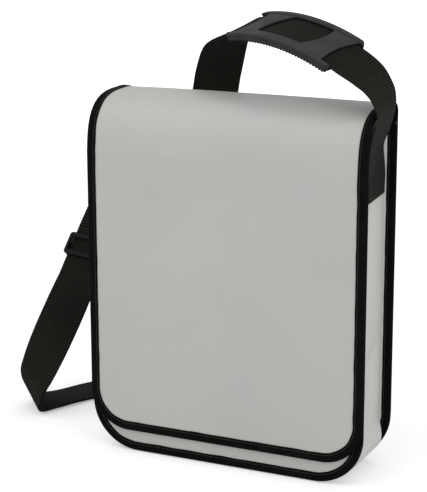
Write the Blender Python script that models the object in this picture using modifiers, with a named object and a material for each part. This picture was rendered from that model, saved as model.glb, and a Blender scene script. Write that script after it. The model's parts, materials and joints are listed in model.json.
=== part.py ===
"""Flap-over shoulder bag for mail, in coated tarpaulin, standing on a floor with its flap closed.

Metres, +Z up. The origin is the centre of the flat underside. The flap covers the front, which faces -Y.
The webbing is sewn to the right side, arches over the bag, falls behind it, passes a tri-glide buckle,
folds on the floor, and ends in a ring on the left side.
"""

import math

import bmesh
import bpy
import numpy as np
from mathutils import Matrix, Vector

# ---- driving dimensions -----------------------------------------------------------------------------
BAG_WIDTH = 0.310
BAG_DEPTH = 0.089
BAG_HEIGHT = 0.3835
CORNER_RADIUS = 0.053
SHEET = 0.0010  # tarpaulin
TAPE = 0.0007  # binding tape
GAP = 0.0003  # clearance between neighbouring pieces
TAPE_WIDTH = 0.010

FRONT_TOP = 0.316  # top of the front panel, under the flap
GUSSET_TOP_FRONT = 0.314
GUSSET_TOP_BACK = 0.362
BACK_TOP = 0.3717
GUSSET_INSET = 0.0120  # the gusset wall stands this far inside the bound outline
BASE_KNEE = 0.016  # width of the slope between the seam and the flat base
BACK_TAPE_END = 0.055  # height where the flap's tape meets the bottom seam's tape

FLAP_BOTTOM = 0.0232
FLAP_RADIUS = 0.044
FLAP_FOLD_Z = 0.300
FLAP_LIFT_Y = -0.0225  # the flap lifts along this line, in front of the webbing
FLAP_ROUND = 3.6  # exponent of the flap's rounded shoulder
BACK_ROUND = 0.0084  # radius of the fold at the back top edge

WEBBING = 0.0016
WEBBING_WIDTH = 0.050
LOOP_WEBBING = 0.0014
RETURN_OFFSET = 0.0020  # between the webbing and the layer that returns to the buckle

PAD_LENGTH = 0.142
PAD_WIDTH = 0.061
PAD_RADIUS = 0.2232  # of the webbing's arc under the pad
PAD_CENTRE = Vector((0.0506, 0.0195, 0.4502))
PAD_ACROSS = Vector((0.368, 0.877, 0.310)).normalized()
PAD_ALONG = Vector((-0.929, 0.336, 0.154))
ARCH_START, ARCH_END = -20.6, 19.4  # degrees of that arc, from the right to the left
ARCH_STEPS = 12

BUCKLE_CENTRE = Vector((-0.2208, 0.0725, 0.187))
BUCKLE_DOWN = Vector((-0.10, -0.60, -0.79)).normalized()
BUCKLE_ACROSS = Vector((0.99, -0.03, -0.1025))
BUCKLE_HALF = 0.0135
BUCKLE_BAR = 0.0052
BUCKLE_TRAVEL = 0.012
BUCKLE_LOOP = 0.026  # length of the webbing end that is folded round the buckle's middle bar
BUCKLE_STRAIGHT = (-0.028, -0.014, 0.0, 0.014, 0.028, 0.040)  # the webbing is straight between these

RING_Y = 0.0115
RING_TOP = Vector((-0.1468, RING_Y, 0.3155))
RING_LOW = Vector((-0.1545, RING_Y, 0.2945))
RING_WIRE = 0.0025
RING_INNER = 0.0515

# ---- levels worked out from them --------------------------------------------------------------------
HALF = BAG_WIDTH / 2
EDGE = TAPE + GAP  # a sheet's edge stands this far inside its tape
LAYER = SHEET + GAP
FLAP_Y = -BAG_DEPTH / 2 + EDGE + SHEET / 2
FLAP_TAPE = SHEET + 2 * EDGE
FRONT_Y = FLAP_Y + SHEET / 2 + EDGE + 0.0004 + EDGE + SHEET / 2
FRONT_LIP_Y = FRONT_Y + LAYER
BACK_Y = BAG_DEPTH / 2 - EDGE - SHEET / 2
BACK_LIP_Y = BACK_Y - LAYER
WALL_X = HALF - GUSSET_INSET

MODEL = bpy.data.collections.new("mail_shoulder_bag")
CUTTERS = bpy.data.collections.new("cutters")


# ---- general helpers --------------------------------------------------------------------------------
def clear_scene():
    for obj in list(bpy.data.objects):
        bpy.data.objects.remove(obj, do_unlink=True)
    bpy.context.scene.collection.children.link(MODEL)
    bpy.context.scene.collection.children.link(CUTTERS)


def make_material(name, colour, roughness, metallic=0.0):
    material = bpy.data.materials.new(name)
    material.use_nodes = True
    shader = material.node_tree.nodes["Principled BSDF"]
    shader.inputs["Base Color"].default_value = (*colour, 1.0)
    shader.inputs["Roughness"].default_value = roughness
    shader.inputs["Metallic"].default_value = metallic
    material.diffuse_color = (*colour, 1.0)
    return material


def add_object(name, data, material, collection=MODEL):
    obj = bpy.data.objects.new(name, data)
    obj.data.materials.append(material)
    collection.objects.link(obj)
    return obj


def solidify(obj, thickness):
    modifier = obj.modifiers.new("thickness", "SOLIDIFY")
    modifier.thickness = thickness
    modifier.offset = 0.0
    modifier.use_even_offset = True


def sheet_from_rows(name, rows, thickness, material):
    """An open surface through equal rows of points, thickened to both sides."""
    bm = bmesh.new()
    grid = [[bm.verts.new(point) for point in row] for row in rows]
    for near, far in zip(grid, grid[1:]):
        for i in range(len(near) - 1):
            bm.faces.new((near[i], near[i + 1], far[i + 1], far[i]))
    bmesh.ops.recalc_face_normals(bm, faces=bm.faces)
    mesh = bpy.data.meshes.new(name)
    bm.to_mesh(mesh)
    bm.free()
    obj = add_object(name, mesh, material)
    solidify(obj, thickness)
    return obj


def flat_panel(name, outline, y, material):
    """A sheet in the XZ plane, centred on y, from a closed outline of (x, z) points."""
    curve = bpy.data.curves.new(name, "CURVE")
    curve.dimensions = "2D"
    curve.fill_mode = "BOTH"
    curve.extrude = SHEET / 2
    spline = curve.splines.new("POLY")
    spline.points.add(len(outline) - 1)
    for point, (x, z) in zip(spline.points, outline):
        point.co = (x, z, 0.0, 1.0)
    spline.use_cyclic_u = True
    obj = add_object(name, curve, material)
    obj.rotation_euler = (math.pi / 2, 0.0, 0.0)
    obj.location = (0.0, y, 0.0)
    return obj


def box(name, low, high, material, bevel=0.0, collection=MODEL):
    bm = bmesh.new()
    bmesh.ops.create_cube(bm, size=1.0)
    size = Vector(high) - Vector(low)
    bmesh.ops.scale(bm, vec=size, verts=bm.verts)
    bmesh.ops.translate(bm, vec=Vector(low) + size / 2, verts=bm.verts)
    mesh = bpy.data.meshes.new(name)
    bm.to_mesh(mesh)
    bm.free()
    obj = add_object(name, mesh, material, collection)
    if bevel:
        modifier = obj.modifiers.new("edges", "BEVEL")
        modifier.width = bevel
        modifier.segments = 1
    return obj


def hide_cutter(obj):
    obj.hide_render = True
    obj.display_type = "WIRE"


def combine(obj, others, operation):
    for other in others:
        hide_cutter(other)
        modifier = obj.modifiers.new(operation.lower(), "BOOLEAN")
        modifier.operation = operation
        modifier.object = other


def apply_modifiers(obj):
    bpy.context.view_layer.update()
    graph = bpy.context.evaluated_depsgraph_get()
    mesh = bpy.data.meshes.new_from_object(obj.evaluated_get(graph))
    obj.modifiers.clear()
    obj.data = mesh


def axis_empty(name, location, parent=None):
    empty = bpy.data.objects.new(name, None)
    empty.empty_display_size = 0.02
    MODEL.objects.link(empty)
    empty.location = location
    if parent:
        hang(empty, parent)
    return empty


def hang(obj, parent):
    """Parents obj to an empty and leaves it where it stands in the world."""
    bpy.context.view_layer.update()
    obj.parent = parent
    obj.matrix_parent_inverse = parent.matrix_world.inverted()


# ---- outlines of the bag's body ---------------------------------------------------------------------
def u_path(inset, top, bottom=0.0, radius=CORNER_RADIUS, steps=8):
    """(x, z, outward x, outward z, corner) down the left, along the bottom and up the right.

    corner runs from 0 on the sides to 1 on the bottom.
    """
    low = bottom + radius
    side = HALF - radius
    points = [(-HALF + inset, top, -1.0, 0.0, 0.0)]
    for i in range(steps + 1):
        angle = math.pi / 2 * i / steps
        out_x, out_z = -math.cos(angle), -math.sin(angle)
        reach = radius - inset
        points.append((-side + reach * out_x, low + reach * out_z, out_x, out_z, i / steps))
    right = [(-x, z, -out_x, out_z, corner) for x, z, out_x, out_z, corner in reversed(points)]
    return points + right


def closed_outline(inset, top, bottom=0.0, radius=CORNER_RADIUS):
    return [(x, z) for x, z, *_ in u_path(inset, top, bottom, radius)]


def edge_tape(name, path, y_front, y_back, material):
    """A tape folded over the edge of sheets that lie in an XZ plane, between y_front and y_back."""
    half = TAPE / 2
    rows = []
    for x, z, out_x, out_z, _ in path:
        outer = (x - out_x * half, z - out_z * half)
        inner = (x - out_x * TAPE_WIDTH, z - out_z * TAPE_WIDTH)
        rows.append(
            [
                (inner[0], y_front + half, inner[1]),
                (outer[0], y_front + half, outer[1]),
                (outer[0], y_back - half, outer[1]),
                (inner[0], y_back - half, inner[1]),
            ]
        )
    return sheet_from_rows(name, rows, TAPE, material)


# ---- the bag's body ---------------------------------------------------------------------------------
def make_front_panel(material):
    flat_panel("front_panel", closed_outline(EDGE, FRONT_TOP - EDGE), FRONT_Y, material)


def make_back_panel(material):
    flat_panel("back_panel", closed_outline(EDGE, BACK_TOP), BACK_Y, material)


def gusset_top(y):
    share = (y - FRONT_LIP_Y) / (BACK_LIP_Y - FRONT_LIP_Y)
    return GUSSET_TOP_FRONT + share * (GUSSET_TOP_BACK - GUSSET_TOP_FRONT)


def make_gusset(material):
    """One strip round both sides and the bottom, with its edges turned out to the panels' edges."""
    path = u_path(GUSSET_INSET, 0.0)
    base_drop = GUSSET_INSET - SHEET / 2
    rows = []
    for index, (x, z, out_x, out_z, corner) in enumerate(path):
        drop = base_drop * math.sin(corner * math.pi / 2) ** 2
        lip = GUSSET_INSET - EDGE
        profile = (
            (FRONT_LIP_Y, lip),
            (FRONT_LIP_Y, 0.0),
            (FRONT_LIP_Y + BASE_KNEE, drop),
            (BACK_LIP_Y - BASE_KNEE, drop),
            (BACK_LIP_Y, 0.0),
            (BACK_LIP_Y, lip),
        )
        at_mouth = index in (0, len(path) - 1)
        row = []
        for y, outward in profile:
            height = gusset_top(y) if at_mouth else z + out_z * outward
            row.append((x + out_x * outward, y, height))
        rows.append(row)
    sheet_from_rows("gusset", rows, SHEET, material)


def make_seam_tapes(material):
    front = u_path(0.0, FRONT_TOP)
    y_front = FRONT_Y - SHEET / 2 - EDGE
    edge_tape("front_seam_binding", front, y_front, FRONT_LIP_Y + SHEET / 2 + EDGE, material)
    back = u_path(0.0, BACK_TAPE_END)
    y_inner = BACK_LIP_Y - SHEET / 2 - EDGE
    y_outer = BACK_Y + SHEET / 2 + EDGE
    edge_tape("back_seam_binding", back, y_inner, y_outer, material)
    for side, name in ((-1.0, "left"), (1.0, "right")):
        low, high = BACK_TAPE_END + GAP, BACK_TOP
        path = [(side * HALF, z, side, 0.0, 0.0) for z in (low, GUSSET_TOP_BACK / 2, high)]
        edge_tape(f"back_edge_binding_{name}", path, y_inner, y_outer, material)


def make_mouth_tapes(material):
    """The tape on the front panel's top edge, and the hems on the gusset's two sloping ends."""
    reach = WALL_X - EDGE
    path = [(x, FRONT_TOP, 0.0, 1.0, 0.0) for x in (-reach, 0.0, reach)]
    y_front = FRONT_Y - SHEET / 2 - EDGE
    edge_tape("mouth_binding", path, y_front, FRONT_Y + SHEET / 2 + EDGE, material)
    depth = 0.8 * TAPE_WIDTH
    spread = SHEET / 2 + GAP + TAPE / 2
    for side, name in ((-1.0, "left"), (1.0, "right")):
        rows = []
        for y in (FRONT_LIP_Y + 0.0023, BACK_LIP_Y - 0.0022):
            top = gusset_top(y) + 3 * GAP + TAPE / 2
            across = ((spread, -depth), (spread, 0.0), (-spread, 0.0), (-spread, -depth))
            rows.append([(side * (WALL_X + out), y, top + down) for out, down in across])
        sheet_from_rows(f"gusset_hem_{name}", rows, TAPE, material)


def make_base_board(material):
    reach = HALF - CORNER_RADIUS - 0.002
    low = (-reach, FRONT_LIP_Y + BASE_KNEE + 0.0015, SHEET + GAP)
    high = (reach, BACK_LIP_Y - BASE_KNEE - 0.0015, SHEET + GAP + 0.0020)
    box("base_board", low, high, material)


def make_closures(loop_material, hook_material):
    """Two pairs of hook-and-loop strips: loop on the front panel, hook inside the flap."""
    width, thick = 0.025, 0.0007
    loop_y = FRONT_Y - SHEET / 2 - GAP
    hook_y = FLAP_Y + SHEET / 2 + GAP
    for side, name in ((-1.0, "left"), (1.0, "right")):
        centre = side * 0.085
        low, high = centre - width / 2, centre + width / 2
        box(f"loop_strip_{name}", (low, loop_y - thick, 0.085), (high, loop_y, 0.185), loop_material)
        hook = box(f"hook_strip_{name}", (low, hook_y, 0.095), (high, hook_y + thick, 0.165), hook_material)
        hang(hook, bpy.data.objects["flap_fold_axis"])


# ---- the flap ---------------------------------------------------------------------------------------
def shoulder_point(angle):
    """(y, z) on the middle of the sheet: 0 is at the fold line, a quarter turn is at the crown."""
    y_crown = BACK_Y - BACK_ROUND
    rise = BAG_HEIGHT - EDGE - SHEET / 2 - FLAP_FOLD_Z
    power = 2.0 / FLAP_ROUND
    y = y_crown - (y_crown - FLAP_Y) * max(0.0, math.cos(angle)) ** power
    return y, FLAP_FOLD_Z + rise * math.sin(angle) ** power


def lift_angle():
    """Where on the shoulder the flap lifts: in front of the webbing that arches over it."""
    y_crown = BACK_Y - BACK_ROUND
    return math.acos(((y_crown - FLAP_LIFT_Y) / (y_crown - FLAP_Y)) ** (FLAP_ROUND / 2.0))


def trimmed(points, start, end):
    """The same line of points, shortened by start and end."""
    first, second = Vector(points[0]), Vector(points[1])
    last, before = Vector(points[-1]), Vector(points[-2])
    head = first + (second - first).normalized() * start
    tail = last + (before - last).normalized() * end
    return [tuple(head)] + points[1:-1] + [tuple(tail)]


def shoulder_profile():
    steps = 9
    points = [shoulder_point(lift_angle() * (i / steps) ** 1.5) for i in range(steps + 1)]
    return trimmed(points, GAP, GAP)


def crown_profile():
    """From the lift line over the top and round the back edge, down to the back panel."""
    steps = 6
    start = lift_angle()
    points = []
    for i in range(steps + 1):
        points.append(shoulder_point(start + (math.pi / 2 - start) * (1 - (1 - i / steps) ** 1.5)))
    y_crown, z_crown = points[-1]
    steps = 5
    for i in range(1, steps + 1):
        angle = math.pi / 2 * i / steps
        drop = BACK_ROUND * (1.0 - math.cos(angle))
        points.append((y_crown + BACK_ROUND * math.sin(angle), z_crown - drop))
    points.append((BACK_Y, BACK_TOP))
    return trimmed(points, GAP, 2 * GAP)


def profile_normals(points):
    ends = [points[0]] + points + [points[-1]]
    normals = []
    for before, after in zip(ends, ends[2:]):
        along = Vector((after[0] - before[0], after[1] - before[1])).normalized()
        normals.append((-along.y, along.x))
    return normals


def lift_axis_place():
    """On the outer face of the tape, so that nothing meets when the flap lifts."""
    y, z = shoulder_point(lift_angle())
    normal = Vector(profile_normals([shoulder_point(lift_angle() + d) for d in (-0.02, 0.0, 0.02)])[1])
    out = SHEET / 2 + EDGE + GAP
    return Vector((0.0, y + normal.x * out, z + normal.y * out))


def curved_sheet(name, profile, sheet_material, tape_material, axis=None):
    """A sheet bent along the profile, full width, and the tapes on its two side edges."""
    reach = HALF - EDGE
    rows = [[(-reach, y, z), (reach, y, z)] for y, z in profile]
    pieces = [sheet_from_rows(name, rows, SHEET, sheet_material)]
    spread = SHEET / 2 + GAP + TAPE / 2
    for side, hand in ((-1.0, "left"), (1.0, "right")):
        outer = side * (HALF - TAPE / 2)
        inner = side * (HALF - TAPE_WIDTH)
        rows = []
        for (y, z), (n_y, n_z) in zip(profile, profile_normals(profile)):
            out = (y + n_y * spread, z + n_z * spread)
            back = (y - n_y * spread, z - n_z * spread)
            rows.append([(inner, *out), (outer, *out), (outer, *back), (inner, *back)])
        pieces.append(sheet_from_rows(f"{name}_binding_{hand}", rows, TAPE, tape_material))
    for piece in pieces:
        if axis:
            hang(piece, axis)


def make_flap_front(sheet_material, tape_material, axis):
    top = FLAP_FOLD_Z - GAP
    outline = closed_outline(EDGE, top, FLAP_BOTTOM, FLAP_RADIUS)
    hang(flat_panel("flap_front", outline, FLAP_Y, sheet_material), axis)
    path = u_path(0.0, top, FLAP_BOTTOM, FLAP_RADIUS)
    y_front = FLAP_Y - FLAP_TAPE / 2
    y_back = FLAP_Y + FLAP_TAPE / 2
    hang(edge_tape("flap_front_binding", path, y_front, y_back, tape_material), axis)


# ---- the webbing ------------------------------------------------------------------------------------
def pad_frame():
    """Centre of the arc under the pad, and the unit vectors along it, across it and out of it."""
    along = (PAD_ALONG - PAD_ACROSS * PAD_ALONG.dot(PAD_ACROSS)).normalized()
    out = PAD_ACROSS.cross(along)
    return PAD_CENTRE - out * PAD_RADIUS, along, out


def buckle_frame():
    across = (BUCKLE_ACROSS - BUCKLE_DOWN * BUCKLE_ACROSS.dot(BUCKLE_DOWN)).normalized()
    return across, BUCKLE_DOWN.cross(across)


def webbing_stations():
    """(place, direction across the width) from the sewn end on the right to the ring on the left."""
    rising = [
        ((0.1447, 0.0115, 0.2890), (0.00, 1.00, 0.00)),
        ((0.1449, 0.0108, 0.2965), (0.00, 1.00, 0.05)),
        ((0.1464, 0.0067, 0.3090), (0.00, 0.98, 0.17)),
        ((0.1479, 0.0008, 0.3249), (-0.03, 0.98, 0.18)),
        ((0.1493, -0.0029, 0.3407), (-0.06, 0.99, 0.10)),
        ((0.1526, -0.0037, 0.3541), (-0.03, 1.00, 0.01)),
        ((0.1567, -0.0041, 0.3674), (-0.01, 1.00, -0.02)),
        ((0.1586, -0.0040, 0.3767), (0.00, 1.00, -0.01)),
        ((0.1586, -0.0041, 0.3835), (0.06, 1.00, 0.01)),
        ((0.1569, -0.0041, 0.3904), (0.13, 0.99, 0.03)),
        ((0.1540, -0.0041, 0.3979), (0.19, 0.98, 0.09)),
        ((0.1485, -0.0039, 0.4055), (0.24, 0.96, 0.16)),
        ((0.1414, -0.0035, 0.4126), (0.30, 0.92, 0.24)),
        ((0.1329, -0.0028, 0.4190), (0.33, 0.90, 0.29)),
    ]
    centre, along, out = pad_frame()
    arch = []
    for step in range(ARCH_STEPS + 1):
        angle = math.radians(ARCH_START + (ARCH_END - ARCH_START) * step / ARCH_STEPS)
        place = centre + PAD_RADIUS * (math.cos(angle) * out + math.sin(angle) * along)
        arch.append((tuple(place), tuple(PAD_ACROSS)))
    falling = [
        ((-0.0286, 0.0533, 0.4450), (0.38, 0.90, 0.22)),
        ((-0.0372, 0.0587, 0.4388), (0.48, 0.87, 0.13)),
        ((-0.0442, 0.0642, 0.4296), (0.65, 0.76, 0.01)),
        ((-0.0512, 0.0698, 0.4180), (0.75, 0.66, -0.07)),
        ((-0.0566, 0.0745, 0.4058), (0.80, 0.59, -0.11)),
        ((-0.0616, 0.0782, 0.3923), (0.83, 0.54, -0.11)),
        ((-0.0672, 0.0842, 0.3761), (0.85, 0.51, -0.13)),
        ((-0.0780, 0.0960, 0.3570), (0.84, 0.42, -0.31)),
        ((-0.1150, 0.1080, 0.326), (0.80, 0.40, -0.44)),
        ((-0.1620, 0.1160, 0.290), (0.82, 0.30, -0.48)),
        ((-0.2000, 0.1090, 0.250), (0.92, 0.12, -0.36)),
    ]
    across, _ = buckle_frame()
    straight = [(tuple(BUCKLE_CENTRE + BUCKLE_DOWN * s), tuple(across)) for s in BUCKLE_STRAIGHT]
    folding = [
        ((-0.2360, 0.0350, 0.1200), (0.96, 0.00, -0.25)),
        ((-0.2490, 0.0250, 0.0850), (0.94, -0.05, -0.30)),
        ((-0.2602, 0.0177, 0.0558), (0.92, -0.23, -0.33)),
        ((-0.2699, 0.0165, 0.0343), (0.80, -0.42, -0.46)),
        ((-0.2757, 0.0261, 0.0154), (0.73, -0.50, -0.47)),
        ((-0.2704, 0.0453, 0.0052), (0.90, -0.38, -0.14)),
        ((-0.2610, 0.0680, 0.0022), (0.915, -0.40, 0)),
        ((-0.2410, 0.1107, 0.0014), (0.88, -0.47, 0)),
    ]
    turn_across = (0.89, -0.456, 0)
    turning = [
        ((-0.2180, 0.1540, 0.0016), turn_across),
        ((-0.2082, 0.1730, 0.0060), turn_across),
        ((-0.2030, 0.1830, 0.0210), turn_across),
        ((-0.2075, 0.1740, 0.0380), turn_across),
        ((-0.2130, 0.1540, 0.0500), (0.86, -0.50, 0.05)),
        ((-0.2060, 0.1180, 0.0760), (0.72, -0.68, 0.05)),
        ((-0.1880, 0.0760, 0.1230), (0.45, -0.87, -0.15)),
        ((-0.1720, 0.0360, 0.1830), (0.15, -0.97, -0.18)),
        ((-0.1585, 0.0130, 0.2300), (0, -1, 0)),
        ((-0.1535, RING_Y, 0.2580), (0, -1, 0)),
    ]
    return rising + arch + falling + straight + folding + turning


def smooth_path(stations, steps=8):
    """Centripetal Catmull-Rom through the stations, with a unit width direction square to the path."""
    keys = np.array([(*place, *Vector(across).normalized()) for place, across in stations])
    keys = np.vstack([2 * keys[0] - keys[1], keys, 2 * keys[-1] - keys[-2]])
    samples = []
    for a, b, c, d in zip(keys, keys[1:], keys[2:], keys[3:]):
        spans = [np.linalg.norm((q - p)[:3]) ** 0.5 for p, q in ((a, b), (b, c), (c, d))]
        first, middle, last = spans
        leave = (b - a) / first - (c - a) / (first + middle) + (c - b) / middle
        arrive = (c - b) / middle - (d - b) / (middle + last) + (d - c) / last
        for i in range(steps):
            u = i / steps
            h_start = 2 * u**3 - 3 * u**2 + 1
            h_leave = u**3 - 2 * u**2 + u
            h_arrive = u**3 - u**2
            turn = h_leave * leave * middle + h_arrive * arrive * middle
            samples.append(h_start * b + turn + (1 - h_start) * c)
    samples.append(keys[-2])
    samples = np.array(samples)
    places = samples[:, :3]
    along = np.gradient(places, axis=0)
    along /= np.linalg.norm(along, axis=1)[:, None]
    across = samples[:, 3:]
    across = across - (across * along).sum(axis=1)[:, None] * along
    across /= np.linalg.norm(across, axis=1)[:, None]
    return places, along, across


def ribbon(name, places, across, thickness, material):
    half = WEBBING_WIDTH / 2
    rows = [[tuple(p - a * half), tuple(p + a * half)] for p, a in zip(places, across)]
    return sheet_from_rows(name, rows, thickness, material)


def make_webbing(material):
    """The webbing, and the layer of it that returns from the ring to the buckle."""
    places, along, across = smooth_path(webbing_stations())
    ribbon("shoulder_webbing", places, across, WEBBING, material)
    facing = np.cross(along, across)
    down = np.array(BUCKLE_DOWN)
    past_buckle = (places - np.array(BUCKLE_CENTRE)) @ down
    nearest = int(np.argmin(np.linalg.norm(places - np.array(BUCKLE_CENTRE), axis=1)))
    edge_past_buckle = past_buckle - np.abs(across @ down) * WEBBING_WIDTH / 2
    tail = BUCKLE_LOOP + BUCKLE_TRAVEL + 0.0015
    first = nearest + int(np.argmax(edge_past_buckle[nearest:] > tail))
    back = places[first:-8] - facing[first:-8] * RETURN_OFFSET
    ribbon("webbing_return", back, across[first:-8], LOOP_WEBBING, material)


def loop_rows(points, middle, across):
    half = WEBBING_WIDTH / 2
    return [[middle(p) - across * half, middle(p) + across * half] for p in points]


def make_buckle_loop(material, axis):
    """The webbing's sewn end, folded round the buckle's middle bar."""
    across, facing = buckle_frame()
    radius = 0.0021
    bar_depth = -0.0039
    points = [(-BUCKLE_LOOP, bar_depth + radius)]
    for i in range(9):
        angle = math.pi * i / 8
        points.append((radius * math.sin(angle), bar_depth + radius * math.cos(angle)))
    points.append((-0.010, bar_depth + 0.0004))
    points.append((0.002 - BUCKLE_LOOP, bar_depth + 0.0003))
    rows = loop_rows(points, lambda p: BUCKLE_CENTRE - BUCKLE_DOWN * p[0] + facing * p[1], across)
    hang(sheet_from_rows("webbing_end_loop", rows, LOOP_WEBBING, material), axis)


def make_ring_pieces(webbing_material, ring_material, axis):
    """The tab sewn on the left side, the ring that hangs in it, and the webbing folded over the ring."""
    radius = (RING_WIRE + LOOP_WEBBING) / 2 + GAP
    across = Vector((0.0, 1.0, 0.0))
    tab = [(-radius, 0.280 - RING_TOP.z)]
    loop = [(radius, 0.262 - RING_LOW.z)]
    for i in range(9):
        angle = math.pi * i / 8
        tab.append((-radius * math.cos(angle), radius * math.sin(angle)))
        loop.append((radius * math.cos(angle), radius * math.sin(angle)))
    tab.append((radius, 0.285 - RING_TOP.z))
    loop.append((-radius, 0.262 - RING_LOW.z))
    rows = loop_rows(tab, lambda p: RING_TOP + Vector((-p[0], 0.0, p[1])), across)
    sheet_from_rows("anchor_tab", rows, LOOP_WEBBING, webbing_material)
    rows = loop_rows(loop, lambda p: RING_LOW + Vector((p[0], 0.0, p[1])), across)
    hang(sheet_from_rows("webbing_ring_loop", rows, LOOP_WEBBING, webbing_material), axis)

    reach = RING_INNER / 2 + RING_WIRE / 2
    corner = 0.003
    drop = (RING_LOW - RING_TOP).normalized()
    length = (RING_LOW - RING_TOP).length
    outline = []
    corners = ((-1, 0, 180), (1, 0, 270), (1, 1, 0), (-1, 1, 90))
    for side, end, start in corners:
        centre_y = side * (reach - corner)
        centre_s = corner if end == 0 else length - corner
        for i in range(4):
            angle = math.radians(start + 30 * i)
            turn = (corner * math.cos(angle), corner * math.sin(angle))
            outline.append((centre_y + turn[0], centre_s + turn[1]))
    curve = bpy.data.curves.new("side_ring", "CURVE")
    curve.dimensions = "3D"
    curve.bevel_depth = RING_WIRE / 2
    curve.bevel_resolution = 2
    curve.use_fill_caps = True
    spline = curve.splines.new("POLY")
    spline.points.add(len(outline) - 1)
    for point, (y, s) in zip(spline.points, outline):
        place = RING_TOP + Vector((0.0, y, 0.0)) + drop * s
        point.co = (*place, 1.0)
    spline.use_cyclic_u = True
    hang(add_object("side_ring", curve, ring_material), axis)


# ---- the shoulder pad -------------------------------------------------------------------------------
def flat_block(name, start, end, width_at, low, high, material, collection, steps=20):
    """A block along X from start to end, whose half width follows width_at, between low and high."""
    bm = bmesh.new()
    rings = []
    for i in range(steps + 1):
        u = start + (end - start) * i / steps
        half = width_at(u)
        corners = ((-half, low), (half, low), (half, high), (-half, high))
        rings.append([bm.verts.new((u, v, w)) for v, w in corners])
    for near, far in zip(rings, rings[1:]):
        for i in range(4):
            j = (i + 1) % 4
            bm.faces.new((near[i], near[j], far[j], far[i]))
    bm.faces.new(rings[0])
    bm.faces.new(rings[-1])
    bmesh.ops.recalc_face_normals(bm, faces=bm.faces)
    mesh = bpy.data.meshes.new(name)
    bm.to_mesh(mesh)
    bm.free()
    return add_object(name, mesh, material, collection)


def bend_onto_arch(obj):
    """Takes (along, across, height over the webbing) to its place on the webbing's arc."""
    centre, along, out = pad_frame()
    for vertex in obj.data.vertices:
        u, v, w = vertex.co
        angle = u / PAD_RADIUS
        radial = math.cos(angle) * out + math.sin(angle) * along
        vertex.co = centre + radial * (PAD_RADIUS + w) - PAD_ACROSS * v
    obj.data.update()


def pad_half_width(u):
    """Full width in the middle, with the corners drawn in at both ends."""
    end = abs(u) / (PAD_LENGTH / 2)
    return PAD_WIDTH / 2 - 0.003 * max(0.0, (end - 0.9) / 0.1) ** 2


def make_pad(shell_material, grip_material, axis):
    half = PAD_LENGTH / 2
    slot = WEBBING / 2 + 0.0006
    slot_half = WEBBING_WIDTH / 2 + 0.0006
    top, low = slot + 0.0024, -slot - 0.0018
    shell = flat_block("pad_shell", -half, half, pad_half_width, low, top, shell_material, MODEL, 24)
    through = flat_block(
        "pad_slot", -half - 0.01, half + 0.01, lambda u: slot_half, -slot, slot, shell_material, CUTTERS, 28
    )
    window = flat_block(
        "pad_window", -0.031, 0.031, lambda u: 0.0205, slot - 0.0008, top + 0.01, shell_material, CUTTERS, 12
    )
    combine(shell, (through, window), "DIFFERENCE")
    apply_modifiers(shell)
    bend_onto_arch(shell)
    hang(shell, axis)
    inset = 0.004
    grip = flat_block(
        "pad_grip",
        -half + inset,
        half - inset,
        lambda u: pad_half_width(u) - inset / 2,
        low - GAP - 0.0022,
        low - GAP,
        grip_material,
        MODEL,
        20,
    )
    bend_onto_arch(grip)
    hang(grip, axis)


# ---- the buckle -------------------------------------------------------------------------------------
def make_buckle(material, axis):
    """A tri-glide: two bars in front of the webbing, one behind it, and two side rails."""
    inner = WEBBING_WIDTH / 2 + 0.0006
    outer = inner + 0.0039
    front = WEBBING / 2 + GAP
    high = front + 0.0028
    rail_low = -0.0052
    end = BUCKLE_HALF
    bar = BUCKLE_BAR
    frame = box("tri_glide", (inner, -end, rail_low), (outer, end, high), material, 0.0006)
    others = (
        ((-outer, -end, rail_low), (-inner, end, high)),
        ((-outer + 0.001, end - bar, front), (outer - 0.001, end, high)),
        ((-outer + 0.001, -end, front), (outer - 0.001, -end + bar, high)),
        ((-outer + 0.001, -0.0011, -0.0050), (outer - 0.001, 0.0011, -0.0028)),
    )
    pieces = []
    for number, (low, top) in enumerate(others):
        pieces.append(box(f"buckle_bar_{number}", low, top, material, 0.0004, CUTTERS))
    combine(frame, pieces, "UNION")
    apply_modifiers(frame)
    across, facing = buckle_frame()
    place = Matrix.Translation(BUCKLE_CENTRE) @ Matrix((across, -BUCKLE_DOWN, facing)).transposed().to_4x4()
    frame.data.transform(place)
    hang(frame, axis)


def main():
    clear_scene()
    tarpaulin = make_material("tarpaulin", (0.50, 0.50, 0.48), 0.42)
    tape = make_material("binding_tape", (0.012, 0.011, 0.012), 0.75)
    web = make_material("webbing", (0.010, 0.010, 0.009), 0.85)
    loop_pile = make_material("loop_pile", (0.015, 0.015, 0.015), 0.95)
    hook_tape = make_material("hook_tape", (0.020, 0.020, 0.020), 0.70)
    board = make_material("board", (0.030, 0.030, 0.030), 0.60)
    moulded = make_material("moulded_plastic", (0.020, 0.020, 0.021), 0.45)
    rubber = make_material("pad_rubber", (0.035, 0.036, 0.038), 0.60)

    lift_axis = axis_empty("flap_lift_axis", lift_axis_place())
    fold_axis = axis_empty("flap_fold_axis", (0.0, -BAG_DEPTH / 2 - GAP, FLAP_FOLD_Z), lift_axis)
    pad_axis = axis_empty("pad_slide_axis", pad_frame()[0])
    buckle_axis = axis_empty("buckle_slide_axis", BUCKLE_CENTRE)
    ring_axis = axis_empty("ring_swing_axis", RING_TOP)

    make_front_panel(tarpaulin)
    make_back_panel(tarpaulin)
    make_gusset(tarpaulin)
    make_seam_tapes(tape)
    make_mouth_tapes(tape)
    make_base_board(board)
    make_closures(loop_pile, hook_tape)
    curved_sheet("flap_top", crown_profile(), tarpaulin, tape)
    curved_sheet("flap_shoulder", shoulder_profile(), tarpaulin, tape, lift_axis)
    make_flap_front(tarpaulin, tape, fold_axis)
    make_webbing(web)
    make_buckle_loop(web, buckle_axis)
    make_ring_pieces(web, moulded, ring_axis)
    make_pad(moulded, rubber, pad_axis)
    make_buckle(moulded, buckle_axis)


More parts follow.
